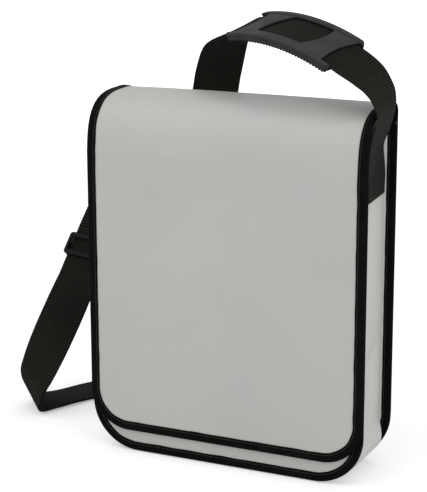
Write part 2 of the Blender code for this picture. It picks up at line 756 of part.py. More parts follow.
main()
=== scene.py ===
"""Looks of the flap-over mail bag: coated tarpaulin, bound edges, ribbed webbing and moulded fittings.

Metres, +Z up, the flap faces -Y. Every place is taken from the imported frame, which stays as it is.
"""

import json
import math
from collections import namedtuple

import bmesh
import bpy
import numpy as np
from mathutils import Matrix, Vector, noise


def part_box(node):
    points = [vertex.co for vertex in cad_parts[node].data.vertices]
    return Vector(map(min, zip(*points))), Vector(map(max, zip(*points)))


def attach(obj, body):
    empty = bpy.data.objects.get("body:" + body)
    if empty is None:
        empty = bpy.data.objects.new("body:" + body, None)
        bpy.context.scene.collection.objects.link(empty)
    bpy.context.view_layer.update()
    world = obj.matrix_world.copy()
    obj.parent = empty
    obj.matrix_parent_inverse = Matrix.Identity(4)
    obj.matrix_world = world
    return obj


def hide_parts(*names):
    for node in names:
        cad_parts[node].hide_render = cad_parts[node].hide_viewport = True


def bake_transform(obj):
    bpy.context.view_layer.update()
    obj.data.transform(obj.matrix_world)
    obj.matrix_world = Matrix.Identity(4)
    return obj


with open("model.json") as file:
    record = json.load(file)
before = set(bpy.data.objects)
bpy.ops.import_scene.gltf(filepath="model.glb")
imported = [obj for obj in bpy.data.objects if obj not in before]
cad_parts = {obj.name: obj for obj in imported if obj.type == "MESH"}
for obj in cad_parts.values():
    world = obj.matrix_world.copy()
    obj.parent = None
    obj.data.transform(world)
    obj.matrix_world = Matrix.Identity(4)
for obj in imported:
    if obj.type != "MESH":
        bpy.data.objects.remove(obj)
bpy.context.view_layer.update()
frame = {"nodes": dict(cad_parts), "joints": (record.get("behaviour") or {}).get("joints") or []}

# ---- thicknesses and patterns -----------------------------------------------------------------------
SHEET = 0.0010  # tarpaulin
TAPE = 0.0007
TAPE_WIDTH = 0.010
HEM_WIDTH = 0.008
TAPE_SETTLE = 0.0002  # a sewn tape lies this much lower than its crown
EDGE = 0.0010  # a sheet ends this far inside its tape
CORNER_RADIUS = 0.053
FLAP_RADIUS = 0.044
STITCH_INSET = 0.0077  # from a tape's outer edge to its seam
STITCH_PITCH = 0.0032
STITCH_LENGTH = 0.0023
THREAD = 0.00023  # radius
STITCH_LIFT = 0.0001

WEBBING_WIDTH = 0.050
WEBBING = 0.0015
THIN_WEBBING = 0.0013
RIB_PITCH = 0.0028
RIB_HEIGHT = 0.00030
BUNDLE_PITCH = 0.0016
RIB_REACH = 0.00016  # how far a rib's loop stands out of the selvedge

SPLIT_Z = 0.325  # the cover and the flap meet here, above the fold line
BASE_KNEE = 0.008  # width of the slope between a bottom seam and the swollen base
GUSSET_INSET = 0.012
GUSSET_TOP_FRONT = 0.314
GUSSET_TOP_BACK = 0.362
WELD = 2e-5
SHARP_ANGLE = 1.0  # radians, at the corners of a CAD ribbon
CREASE = math.radians(50)  # a mesh shades smooth up to this angle
SOFTENING_ROUNDS = 3
STEP = 0.0025  # between the sections of an edge or a sheet
CLOTH_PITCH = 0.0011
FILAMENT_PITCH = 0.00055
TWIST_PITCH = 0.0005
HOOK_PITCH = 0.0014

BLACK_THREAD = (0.030, 0.022, 0.015)


# ---- places read from the frame ---------------------------------------------------------------------
def middle(node):
    low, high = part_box(node)
    return (low + high) / 2


def joint(name):
    return next(item for item in frame["joints"] if item["name"] == name)


FLAP_LOW, FLAP_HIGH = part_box("flap_front_binding")
HALF = FLAP_HIGH.x
FLAP_Y = (FLAP_LOW.y + FLAP_HIGH.y) / 2
FLAP_DEPTH = (FLAP_HIGH.y - FLAP_LOW.y) / 2
FRONT_LOW, FRONT_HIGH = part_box("front_seam_binding")
BACK_LOW, BACK_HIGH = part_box("back_seam_binding")
FRONT_Y = middle("front_panel").y
BACK_Y = middle("back_panel").y
BACK_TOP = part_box("back_panel")[1].z
GUSSET_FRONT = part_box("gusset")[0].y + SHEET / 2
GUSSET_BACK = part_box("gusset")[1].y - SHEET / 2
WALL_X = middle("gusset_hem_right").x
RING_Y = middle("side_ring").y
RING_TOP = Vector(joint("ring_swing")["pos_m"])
LIFT_LINE = Vector(joint("flap_lift")["pos_m"])
BUCKLE_DOWN = Vector(joint("buckle_slide")["axis"])


def end_section(bm, beyond_end):
    """The four corners of the ribbon's end nearest to a point. Only at corners do three sharp edges meet."""
    corners = []
    for vert in bm.verts:
        sharp = [edge for edge in vert.link_edges if edge.calc_face_angle(0.0) > SHARP_ANGLE]
        if len(sharp) > 2:
            corners.append(vert)
    return sorted(corners, key=lambda vert: (vert.co - beyond_end).length)[:4]


def ribbon_sections(node, beyond_end):
    """Centre and width direction of each cross-section of a CAD ribbon, from the end nearest to a point.

    A ribbon's solid has four vertices in each cross-section, and edges only within one or to the next.
    """
    bm = bmesh.new()
    bm.from_mesh(frame["nodes"][node].data)
    bmesh.ops.remove_doubles(bm, verts=bm.verts, dist=WELD)
    ring = end_section(bm, Vector(beyond_end))
    seen = set(ring)
    centres = []
    directions = []
    while len(ring) == 4:
        centres.append(sum((vert.co for vert in ring), Vector()) / len(ring))
        first = ring[0]
        near, *far = sorted(ring[1:], key=lambda vert: (vert.co - first.co).length)
        across = (sum((vert.co for vert in far), Vector()) - first.co - near.co).normalized()
        if directions and across.dot(directions[-1]) < 0:
            across = -across
        directions.append(across)
        following = {edge.other_vert(vert) for vert in ring for edge in vert.link_edges} - seen
        seen |= following
        ring = sorted(following, key=lambda vert: vert.index)
    bm.free()
    return np.array(centres), np.array(directions)


BELOW_SEWN_END = (WALL_X, RING_Y, GUSSET_TOP_FRONT - 0.044)
STRAP_CENTRES, STRAP_ACROSS = ribbon_sections("shoulder_webbing", BELOW_SEWN_END)
BUCKLE_MIDDLE = np.array(middle("tri_glide"))
BELOW_BUCKLE = middle("tri_glide") + BUCKLE_DOWN * 0.06
AT_BUCKLE = int(np.argmin(np.linalg.norm(STRAP_CENTRES - BUCKLE_MIDDLE, axis=1)))


def lengths(points):
    """How far along the path each of its points lies."""
    return np.concatenate([[0.0], np.cumsum(np.linalg.norm(np.diff(points, axis=0), axis=1))])


def resample(points, extra, step):
    """Cubic path through the points at equal steps of length; extra values are carried along with it."""
    values = np.hstack([points, extra])
    chord = lengths(points)
    slopes = np.gradient(values, chord, axis=0)
    count = max(2, round(chord[-1] / step))
    wanted = np.linspace(0.0, chord[-1], count + 1)
    index = np.clip(np.searchsorted(chord, wanted, side="right") - 1, 0, len(chord) - 2)
    span = (chord[index + 1] - chord[index])[:, None]
    u = (wanted - chord[index])[:, None] / span
    start = (2 * u**3 - 3 * u**2 + 1) * values[index] + (u**3 - 2 * u**2 + u) * span * slopes[index]
    end = (3 * u**2 - 2 * u**3) * values[index + 1] + (u**3 - u**2) * span * slopes[index + 1]
    places, carried = np.split(start + end, [points.shape[1]], axis=1)
    return places, carried, wanted


def unit(vectors):
    return vectors / np.linalg.norm(vectors, axis=-1, keepdims=True)


def smoothstep(low, high, value):
    share = np.clip((value - low) / (high - low), 0.0, 1.0)
    return share * share * (3 - 2 * share)


# ---- meshes -----------------------------------------------------------------------------------------
def add_object(name, data):
    obj = bpy.data.objects.new(name, data)
    bpy.context.scene.collection.objects.link(obj)
    return obj


def face_outward(mesh):
    bm = bmesh.new()
    bm.from_mesh(mesh)
    if bm.calc_volume(signed=True) < 0:
        bmesh.ops.reverse_faces(bm, faces=bm.faces)
    bm.to_mesh(mesh)
    bm.free()


def apply_modifiers(obj):
    bpy.context.view_layer.update()
    graph = bpy.context.evaluated_depsgraph_get()
    mesh = bpy.data.meshes.new_from_object(obj.evaluated_get(graph))
    obj.modifiers.clear()
    obj.data = mesh


def mesh_object(name, vertices, faces, uv=None, sharp=CREASE):
    mesh = bpy.data.meshes.new(name)
    mesh.from_pydata(np.asarray(vertices).tolist(), [], faces)
    mesh.validate()
    if uv is not None:
        layer = mesh.uv_layers.new(name="metric")
        corners = np.zeros(len(mesh.loops), np.int32)
        mesh.loops.foreach_get("vertex_index", corners)
        layer.data.foreach_set("uv", np.asarray(uv, np.float32)[corners].ravel())
    face_outward(mesh)
    mesh.shade_smooth()
    mesh.set_sharp_from_angle(angle=sharp)
    return add_object(name, mesh)


def loft(name, rings, uv=None, closed=False, sharp=CREASE):
    """A solid through closed cross-sections, given as an array of (sections, points, 3)."""
    sections, points = rings.shape[:2]
    faces = []
    for i in range(sections if closed else sections - 1):
        after = (i + 1) % sections
        for j in range(points):
            beside = (j + 1) % points
            corners = (i * points + j, i * points + beside, after * points + beside, after * points + j)
            faces.append(corners)
    if not closed:
        faces.append(tuple(range(points))[::-1])
        faces.append(tuple(range((sections - 1) * points, sections * points)))
    flat_uv = None if uv is None else uv.reshape(-1, 2)
    return mesh_object(name, rings.reshape(-1, 3), faces, flat_uv, sharp)


def grid_normals(grid):
    along = np.gradient(grid, axis=0)
    across = np.gradient(grid, axis=1)
    return unit(np.cross(along, across))


def grid_lengths(grid):
    """(along, across) lengths of the grid's middle lines, as uv coordinates in metres."""
    along = lengths(grid[:, grid.shape[1] // 2])
    steps = np.linalg.norm(np.diff(grid, axis=1), axis=2)
    across = np.concatenate([np.zeros((len(grid), 1)), np.cumsum(steps, axis=1)], axis=1)
    across -= across[:, -1:] / 2
    return np.stack([np.broadcast_to(along[:, None], across.shape), across], axis=-1)


def slab(name, upper, lower, uv, sharp=CREASE):
    """A solid between two equal grids of points."""
    rows, columns = upper.shape[:2]
    count = rows * columns
    index = np.arange(count).reshape(rows, columns)
    a, b, c, d = index[:-1, :-1], index[:-1, 1:], index[1:, 1:], index[1:, :-1]
    top = np.stack([a, b, c, d], axis=-1).reshape(-1, 4)
    bottom = top[:, ::-1] + count
    border = np.concatenate([index[0, :], index[1:, -1], index[-1, -2::-1], index[-2:0:-1, 0]])
    after = np.roll(border, -1)
    sides = np.stack([after, border, border + count, after + count], axis=-1)
    faces = np.concatenate([top, bottom, sides]).tolist()
    vertices = np.concatenate([upper.reshape(-1, 3), lower.reshape(-1, 3)])
    flat_uv = np.concatenate([uv.reshape(-1, 2)] * 2)
    return mesh_object(name, vertices, faces, flat_uv, sharp)


def sheet(name, grid):
    lift = grid_normals(grid) * SHEET / 2
    return slab(name, grid + lift, grid - lift, grid_lengths(grid))


def field(x, y, scale, seed):
    """Smooth noise from -1 to 1 over two arrays of coordinates."""
    flat = [noise.noise((a * scale, b * scale, seed)) for a, b in zip(x.ravel(), y.ravel())]
    return np.array(flat).reshape(x.shape)


def soften(obj, voxel):
    """One soft-edged skin over everything in obj, the way a moulded piece comes out of its tool."""
    modifier = obj.modifiers.new("skin", "REMESH")
    modifier.mode = "VOXEL"
    modifier.voxel_size = voxel
    modifier.use_smooth_shade = True
    modifier = obj.modifiers.new("soften", "SMOOTH")
    modifier.factor = 0.5
    modifier.iterations = SOFTENING_ROUNDS
    apply_modifiers(obj)
    obj.data.shade_smooth()


def prism(name, outline, low, high):
    """A flat outline in XY between two heights."""
    bm = bmesh.new()
    base = bm.faces.new([bm.verts.new((x, y, low)) for x, y in outline])
    grown = bmesh.ops.extrude_face_region(bm, geom=[base])
    verts = [item for item in grown["geom"] if isinstance(item, bmesh.types.BMVert)]
    bmesh.ops.translate(bm, verts=verts, vec=(0.0, 0.0, high - low))
    bmesh.ops.recalc_face_normals(bm, faces=bm.faces)
    mesh = bpy.data.meshes.new(name)
    bm.to_mesh(mesh)
    bm.free()
    return add_object(name, mesh)


def rectangle(x_low, x_high, y_low, y_high):
    return [(x_low, y_low), (x_high, y_low), (x_high, y_high), (x_low, y_high)]


def rounded_rectangle(half_x, half_y, radius, steps=6):
    outline = []
    for side_x, side_y, start in ((1, 1, 0), (-1, 1, 90), (-1, -1, 180), (1, -1, 270)):
        for i in range(steps + 1):
            angle = math.radians(start + 90 * i / steps)
            x = side_x * (half_x - radius) + radius * math.cos(angle)
            outline.append((x, side_y * (half_y - radius) + radius * math.sin(angle)))
    return outline


def carve(obj, cutters, operation="DIFFERENCE"):
    """Cuts the cutters out of obj, or joins them to it, and removes them."""
    for cutter in cutters:
        modifier = obj.modifiers.new("cut", "BOOLEAN")
        modifier.operation = operation
        modifier.object = cutter
    apply_modifiers(obj)
    for cutter in cutters:
        bpy.data.objects.remove(cutter)


def move_vertices(obj, function):
    mesh = obj.data
    points = np.zeros(len(mesh.vertices) * 3, np.float32)
    mesh.vertices.foreach_get("co", points)
    points = function(points.reshape(-1, 3).astype(float))
    mesh.vertices.foreach_set("co", points.astype(np.float32).ravel())
    mesh.update()
    face_outward(mesh)


def finish_piece(obj, material, nodes=()):
    obj.data.materials.clear()
    obj.data.materials.append(material)
    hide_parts(*nodes)
    return obj


# ---- material building blocks -----------------------------------------------------------------------
def new_material(name):
    material = bpy.data.materials.new(name)
    material.use_nodes = True
    return material, material.node_tree, material.node_tree.nodes["Principled BSDF"]


def assign(tree, target, value):
    """Sets a node's input to a value, or links it from another node's socket."""
    if isinstance(value, bpy.types.NodeSocket):
        tree.links.new(value, target)
    elif target.type == "RGBA":
        target.default_value = (*value, 1.0)
    else:
        target.default_value = value


def put(tree, kind, inputs=(), **settings):
    """Adds a node. Inputs pair a socket's name or number with a value or with another node's socket."""
    made = tree.nodes.new(kind)
    for key, value in settings.items():
        setattr(made, key, value)
    for key, value in inputs:
        assign(tree, made.inputs[key], value)
    return made


def calc(tree, operation, *values, clamp=False):
    made = put(tree, "ShaderNodeMath", enumerate(values), operation=operation, use_clamp=clamp)
    return made.outputs[0]


def metric_uv(tree):
    """Sockets of the distances along and across a piece, in metres."""
    source = put(tree, "ShaderNodeUVMap", uv_map="metric")
    parts = put(tree, "ShaderNodeSeparateXYZ", [(0, source.outputs[0])])
    return source.outputs[0], parts.outputs[0], parts.outputs[1]


def ripple(tree, distance, period):
    """A wave from 0 to 1 with its crests one period apart."""
    turned = calc(tree, "MULTIPLY_ADD", distance, 2 * math.pi / period, 0.0)
    return calc(tree, "MULTIPLY_ADD", calc(tree, "COSINE", turned), 0.5, 0.5)


def cloud(tree, vector, scale, detail=3.0, roughness=0.5):
    inputs = [("Vector", vector), ("Scale", scale), ("Detail", detail), ("Roughness", roughness)]
    return put(tree, "ShaderNodeTexNoise", inputs).outputs["Fac"]


def scaled(colour, factors):
    return tuple(np.multiply(colour, factors).tolist())


def mixed(tree, share, first, second):
    return put(tree, "ShaderNodeMix", [(0, share), (6, first), (7, second)], data_type="RGBA").outputs[2]


def spread(tree, value, low, high, to_low, to_high):
    """The value, held between low and high and moved to between to_low and to_high."""
    return put(tree, "ShaderNodeMapRange", enumerate((value, low, high, to_low, to_high))).outputs[0]


def bump(tree, height, distance, strength=1.0, normal=None):
    inputs = [("Height", height), ("Distance", distance), ("Strength", strength)]
    if normal is not None:
        inputs.append(("Normal", normal))
    return put(tree, "ShaderNodeBump", inputs).outputs[0]


SHADER_INPUTS = {
    "colour": "Base Color",
    "roughness": "Roughness",
    "normal": "Normal",
    "specular": "Specular IOR Level",
    "sheen": "Sheen Weight",
    "coat": "Coat Weight",
    "coat_roughness": "Coat Roughness",
}


def connect(tree, shader, **inputs):
    for key, value in inputs.items():
        assign(tree, shader.inputs[SHADER_INPUTS[key]], value)


# ---- materials --------------------------------------------------------------------------------------
def tarpaulin_material(name, colour, shade=1.0):
    """Coated fabric: the base cloth just shows through a satin skin with faint scuffs."""
    material, tree, shader = new_material(name)
    uv, along, across = metric_uv(tree)
    # shade scales the colour; a value above 1 paints light onto a copy of the fabric
    base = scaled(colour, shade)
    drift = spread(tree, cloud(tree, uv, 7.0, 2.0), 0.3, 0.7, 0.0, 1.0)
    tint = mixed(tree, drift, scaled(base, (0.965, 0.97, 0.985)), scaled(base, (1.035, 1.025, 0.99)))
    stretched = put(tree, "ShaderNodeMapping", [("Vector", uv), ("Scale", (9.0, 60.0, 1.0))])
    scuff = spread(tree, cloud(tree, stretched.outputs[0], 1.0, 5.0, 0.6), 0.62, 0.78, 0.0, 1.0)
    colour_socket = mixed(tree, calc(tree, "MULTIPLY", scuff, 0.30), tint, scaled(base, 0.86))
    cloth = calc(tree, "MULTIPLY", ripple(tree, along, CLOTH_PITCH), ripple(tree, across, CLOTH_PITCH))
    grain = cloud(tree, uv, 1400.0, 3.0, 0.6)
    relief = calc(tree, "ADD", calc(tree, "MULTIPLY", cloth, 0.35), grain)
    soft = bump(tree, cloud(tree, uv, 22.0, 2.0), 0.0012, 0.35)
    gloss = spread(tree, cloud(tree, uv, 30.0, 4.0), 0.3, 0.7, 0.40, 0.52)
    roughness = calc(tree, "MULTIPLY_ADD", scuff, 0.10, gloss)
    normal = bump(tree, relief, 0.00006, 0.55, soft)
    connect(tree, shader, colour=colour_socket, roughness=roughness, normal=normal)
    connect(tree, shader, specular=0.45, coat=0.08, coat_roughness=0.35)
    return material


def webbing_material():
    """Ribbed webbing: bundles of filaments over transverse ribs, with a painted highlight on the crests and
    painted shade in the hollows.
    """
    material, tree, shader = new_material("webbing")
    uv, along, across = metric_uv(tree)
    rib = ripple(tree, along, RIB_PITCH)
    row = calc(tree, "FLOOR", calc(tree, "DIVIDE", along, RIB_PITCH))
    shifted = calc(tree, "MULTIPLY_ADD", row, 0.5 * BUNDLE_PITCH, across)
    bundle = ripple(tree, shifted, BUNDLE_PITCH)
    slant = calc(tree, "MULTIPLY_ADD", along, 0.9, across)
    filament = ripple(tree, slant, FILAMENT_PITCH)
    # Painted highlight and shade: the crests of the ribs, bundles and filaments are painted lighter and the
    # hollows darker; the patch noise is the webbing's own uneven tone
    painted_crest_light = calc(tree, "MULTIPLY", rib, calc(tree, "MULTIPLY_ADD", bundle, 0.6, 0.4))
    painted_crest_light = calc(tree, "MULTIPLY_ADD", filament, 0.18, painted_crest_light)
    patch = spread(tree, cloud(tree, uv, 14.0, 3.0), 0.35, 0.65, 0.75, 1.15)
    share = calc(tree, "MULTIPLY", painted_crest_light, patch, clamp=True)
    colour = mixed(tree, share, (0.0008, 0.0008, 0.0007), (0.0300, 0.0270, 0.0220))
    fuzz = cloud(tree, uv, 2600.0, 2.0)
    height = calc(tree, "MULTIPLY_ADD", bundle, 0.55, calc(tree, "MULTIPLY", rib, 0.6))
    height = calc(tree, "MULTIPLY_ADD", filament, 0.25, height)
    height = calc(tree, "MULTIPLY_ADD", fuzz, 0.20, height)
    normal = bump(tree, height, 0.00030, 0.8)
    connect(tree, shader, colour=colour, normal=normal, roughness=0.62, specular=0.05, sheen=0.02)
    return material


def tape_material():
    """Grosgrain tape: fine cross ribs and a little lint."""
    material, tree, shader = new_material("binding_tape")
    uv, along, across = metric_uv(tree)
    rib = ripple(tree, along, 0.00095)
    yarn = ripple(tree, across, 0.0006)
    lint = cloud(tree, uv, 900.0, 4.0, 0.7)
    worn = spread(tree, cloud(tree, uv, 35.0, 4.0), 0.45, 0.75, 0.0, 1.0)
    # Painted highlight: the rib crests are painted lighter; the worn patches are the tape's real wear
    share = calc(tree, "MULTIPLY_ADD", worn, 0.35, calc(tree, "MULTIPLY", rib, 0.5), clamp=True)
    colour = mixed(tree, share, (0.0014, 0.0013, 0.0014), (0.0085, 0.0077, 0.0078))
    height = calc(tree, "MULTIPLY_ADD", yarn, 0.3, rib)
    height = calc(tree, "MULTIPLY_ADD", lint, 0.4, height)
    normal = bump(tree, height, 0.00014, 0.7)
    connect(tree, shader, colour=colour, normal=normal, roughness=0.68, specular=0.05)
    return material


def moulded_material(name, colour, roughness, shine, grain, grain_depth):
    """Moulded plastic or rubber with a spark-eroded grain and paler rubbed areas."""
    material, tree, shader = new_material(name)
    source = put(tree, "ShaderNodeTexCoord").outputs["Object"]
    drift = spread(tree, cloud(tree, source, 45.0, 4.0), 0.35, 0.7, 0.0, 1.0)
    speckle = cloud(tree, source, grain, 2.0, 0.6)
    gloss = spread(tree, drift, 0.0, 1.0, roughness + 0.05, roughness - 0.05)
    normal = bump(tree, speckle, grain_depth, 0.6)
    colour_socket = mixed(tree, drift, scaled(colour, 0.86), scaled(colour, 1.22))
    connect(tree, shader, colour=colour_socket, roughness=gloss, normal=normal, specular=shine)
    return material


def thread_material():
    """Twisted polyester thread."""
    material, tree, shader = new_material("thread")
    _, along, across = metric_uv(tree)
    twist = ripple(tree, calc(tree, "MULTIPLY_ADD", across, 1.5, along), TWIST_PITCH)
    # Painted highlight: the twist ridges, which the bump raises, are painted up to three times lighter
    colour = mixed(tree, twist, BLACK_THREAD, scaled(BLACK_THREAD, 3.0))
    connect(tree, shader, colour=colour, normal=bump(tree, twist, 0.00005, 0.6), roughness=0.5)
    return material


def pile_material(name, colour):
    """Felted loops or short hooks."""
    material, tree, shader = new_material(name)
    uv, along, _ = metric_uv(tree)
    tuft = cloud(tree, uv, 1300.0, 5.0, 0.75)
    row = ripple(tree, along, 0.0016)
    height = calc(tree, "MULTIPLY_ADD", row, 0.25, tuft)
    # Painted highlight: the raised tufts are painted up to 3.2 times lighter than the hollows between them
    share = spread(tree, tuft, 0.4, 0.75, 0.0, 1.0)
    colour_socket = mixed(tree, share, colour, scaled(colour, 3.2))
    normal = bump(tree, height, 0.0004, 0.9)
    connect(tree, shader, colour=colour_socket, normal=normal, roughness=0.9, sheen=0.25)
    return material


TARP_COLOUR = (0.495, 0.492, 0.477)
TARP = tarpaulin_material("tarpaulin", TARP_COLOUR)
# The gusset is the same tarpaulin painted 15% lighter: painted light standing in for the brighter light on
# the bag's side
TARP_GUSSET_PAINTED_LIGHT = tarpaulin_material("tarpaulin_gusset_painted_light", TARP_COLOUR, 1.15)
WEB = webbing_material()
BINDING = tape_material()
SHELL = moulded_material("pad_elastomer", (0.0245, 0.0248, 0.0255), 0.52, 0.22, 1500.0, 0.00010)
GRIP = moulded_material("pad_rubber", (0.014, 0.0143, 0.0148), 0.66, 0.15, 2200.0, 0.00012)
PLASTIC = moulded_material("moulded_plastic", (0.0038, 0.0038, 0.0040), 0.42, 0.12, 1800.0, 0.00006)
BOARD = moulded_material("stiff_board", (0.012, 0.012, 0.0125), 0.55, 0.30, 420.0, 0.00020)
THREADS = thread_material()
LOOPS = pile_material("loop_pile", (0.010, 0.010, 0.010))
HOOKS = pile_material("hook_tape", (0.014, 0.014, 0.015))


# ---- edges, tapes and stitches ----------------------------------------------------------------------
Edge = namedtuple("Edge", "places inward normal front back")


def u_outline(top, bottom, radius, spacing=STEP):
    """Down the left side, along the bottom and up the right: (x, z), outward (x, z), corner share."""
    side, low = HALF - radius, bottom + radius
    quarter = radius * math.pi / 2
    reach = side + quarter + top - low
    t = np.linspace(-reach, reach, 2 * round(reach / spacing) + 1)
    away = np.abs(t)
    angle = np.clip((away - side) / radius, 0.0, math.pi / 2)
    x = np.minimum(away, side) + radius * np.sin(angle)
    z = low - radius * np.cos(angle) + np.maximum(0.0, away - side - quarter)
    hand = np.where(t < 0, -1.0, 1.0)
    outward = np.stack([hand * np.sin(angle), -np.cos(angle)], axis=-1)
    return np.stack([hand * x, z], axis=-1), outward, 1 - angle / (math.pi / 2)


def in_plane(points, y):
    return np.stack([points[:, 0], np.broadcast_to(y, len(points)), points[:, 1]], axis=-1)


def flat_edge(top, bottom, radius, low_y, high_y):
    """The edge of sheets that lie in an XZ plane and share a U-shaped outline."""
    points, outward, _ = u_outline(top, bottom, radius)
    depth = (high_y - low_y) / 2
    thick = np.full(len(points), depth)
    normal = np.tile([0.0, -1.0, 0.0], (len(points), 1))
    return Edge(in_plane(points, (low_y + high_y) / 2), -in_plane(outward, 0.0), normal, thick, thick)


def straight_edge(start, end, inward, normal, depth, spacing=STEP):
    start, end = np.array(start), np.array(end)
    count = max(2, round(np.linalg.norm(end - start) / spacing))
    share = np.linspace(0, 1, count + 1)[:, None]
    places = start * (1 - share) + end * share
    repeat = (len(places), 1)
    thick = np.full(len(places), depth)
    return Edge(places, np.tile(unit(np.array(inward, float)), repeat), np.tile(normal, repeat), thick, thick)


def tape_half_outline(depth, reach):
    """(inward, height) from the sewn inner edge out to the fold, over one face of the tape."""
    settled = depth - TAPE_SETTLE
    seam = STITCH_INSET * reach / TAPE_WIDTH
    return [
        (reach, settled - 0.45 * TAPE),
        (reach - 0.0002, settled - 0.10 * TAPE),
        (reach - 0.0007, settled),
        (seam + 0.0006, settled - 0.00004),
        (seam, settled - 0.00016),
        (seam - 0.0006, settled - 0.00002),
        (0.62 * seam, depth),
        (0.38 * seam, depth),
        (0.00190, 0.965 * depth),
        (0.00100, 0.840 * depth),
        (0.00038, 0.580 * depth),
        (0.00008, 0.280 * depth),
    ]


def tape(name, edge, reach=TAPE_WIDTH):
    """A woven tape folded over an edge and sewn down."""
    along = lengths(edge.places)
    rings = []
    for i, place in enumerate(edge.places):
        width = reach + 0.0005 * noise.noise((along[i] * 55.0, len(name), 0.0))
        front = tape_half_outline(edge.front[i], width)
        back = tape_half_outline(edge.back[i], width)
        inner_front, inner_back = edge.front[i] - EDGE, edge.back[i] - EDGE
        outline = front + [(0.0, 0.0)] + [(inward, -height) for inward, height in reversed(back)]
        outline += [(width, -inner_back - 0.0001), (0.0030, -inner_back - 0.00015), (TAPE, -0.5 * inner_back)]
        outline += [(TAPE, 0.5 * inner_front), (0.0030, inner_front + 0.00015), (width, inner_front + 0.0001)]
        rings.append([place + edge.inward[i] * a + edge.normal[i] * b for a, b in outline])
    rings = np.array(rings)
    around = np.linalg.norm(np.diff(rings[0], axis=0, prepend=rings[0][:1]), axis=1).cumsum()
    uv = np.stack(np.broadcast_arrays(along[:, None], around[None, :]), axis=-1)
    return loft(name, rings, uv, sharp=math.radians(60))


def seam_lines(edge, reach=TAPE_WIDTH):
    """Places and normals along a tape's seam, on its front and on its back."""
    inset = edge.inward * (STITCH_INSET * reach / TAPE_WIDTH)
    lines = []
    for side, depth in ((1, edge.front), (-1, edge.back)):
        height = (depth - TAPE_SETTLE - STITCH_LIFT)[:, None]
        lines.append((edge.places + inset + edge.normal * side * height, edge.normal * side))
    return lines


def stitches(name, lines, pitch=STITCH_PITCH, length=STITCH_LENGTH):
    """Sewing thread along lines of (places, normals): each stitch is a short arched capsule."""
    profile = ((-0.50, 0.35), (-0.40, 0.80), (-0.15, 1.0), (0.15, 1.0), (0.40, 0.80), (0.50, 0.35))
    sides = 6
    vertices, faces, uvs = [], [], []
    for places, normals in lines:
        run = lengths(places)
        count = int(run[-1] / pitch)
        centres = (np.arange(count) + 0.5) * run[-1] / max(count, 1)
        tangent = unit(np.gradient(places, axis=0))
        for centre in centres:
            spot, ahead, up = (
                np.array([np.interp(centre, run, column) for column in rows.T])
                for rows in (places, tangent, normals)
            )
            ahead = unit(ahead)
            up = unit(up - ahead * (up @ ahead))
            beside = np.cross(up, ahead)
            base = len(vertices)
            for share, size in profile:
                arch = THREAD * (0.55 - 3.2 * share * share)
                ring_centre = spot + ahead * share * length + up * arch
                for k in range(sides):
                    angle = 2 * math.pi * k / sides
                    offset = (beside * math.cos(angle) + up * math.sin(angle)) * THREAD * size
                    vertices.append(ring_centre + offset)
                    uvs.append((centre + share * length, angle * THREAD))
            for ring in range(len(profile) - 1):
                for k in range(sides):
                    a = base + ring * sides + k
                    b = base + ring * sides + (k + 1) % sides
                    faces.append((a, b, b + sides, a + sides))
            faces.append(tuple(range(base, base + sides))[::-1])
            last = base + (len(profile) - 1) * sides
            faces.append(tuple(range(last, last + sides)))
    obj = mesh_object(name, np.array(vertices), faces, np.array(uvs))
    return finish_piece(obj, THREADS)


# ---- tarpaulin --------------------------------------------------------------------------------------
def cover_profile():
    """(y, z) on the middle of the sheet from the flap's bottom, over the top, to the back's bottom."""
    shoulder, _ = ribbon_sections("flap_shoulder", (0.0, FLAP_Y, FLAP_HIGH.z - 0.02))
    crown, _ = ribbon_sections("flap_top", (0.0, LIFT_LINE.y - 0.01, LIFT_LINE.z))
    front = [(FLAP_Y, z) for z in np.linspace(FLAP_LOW.z + EDGE, FLAP_HIGH.z - 0.004, 40)]
    back = [(BACK_Y, z) for z in np.linspace(BACK_TOP - 0.004, EDGE, 60)]
    over = [(y, z) for _, y, z in np.vstack([shoulder[:-1], crown[1:]])]
    profile, _, run = resample(np.array(front + over + back), np.zeros((100 + len(over), 0)), STEP)
    return profile, run


def reach_above_bottom(height, radius):
    """How far a sheet with rounded bottom corners reaches to each side."""
    inner = radius - EDGE
    rise = np.clip(radius - height, 0.0, inner)
    return HALF - radius + np.sqrt(np.maximum(inner**2 - rise**2, 1e-8))


def half_width(profile, run):
    """The reach of the flap up to the crown, and from there on that of the back."""
    crown = run[np.argmax(profile[:, 1])]
    bottom = np.where(run < crown, FLAP_LOW.z, 0.0)
    radius = np.where(run < crown, FLAP_RADIUS, CORNER_RADIUS)
    return reach_above_bottom(profile[:, 1] - bottom, radius)


def cover_grid(columns=76):
    profile, run = cover_profile()
    x = half_width(profile, run)[:, None] * np.linspace(-1.0, 1.0, columns + 1)
    grid = np.concatenate([x[..., None], np.repeat(profile[:, None], columns + 1, axis=1)], axis=2)
    outward = np.repeat(profile_normals(profile)[:, None], columns + 1, axis=1)
    free = smoothstep(TAPE_WIDTH, 0.045, HALF - np.abs(x))
    free *= smoothstep(TAPE_WIDTH, 0.050, run[:, None]) * smoothstep(TAPE_WIDTH, 0.06, run[-1] - run[:, None])
    s = np.broadcast_to(run[:, None], x.shape)
    waves = 0.00055 * field(x, s, 9.0, 3.0) + 0.00022 * field(x, s, 26.0, 8.0)
    on_back = s > run[np.argmax(profile[:, 1])] + 0.03
    crown_rise = np.where(on_back, 0.0, 0.0009 * (1 - (x / HALF) ** 2))
    return grid + outward * (free * (crown_rise + waves))[..., None], profile, run


def profile_normals(profile):
    tangent = unit(np.gradient(profile, axis=0))
    return np.stack([np.zeros(len(profile)), -tangent[:, 1], tangent[:, 0]], axis=-1)


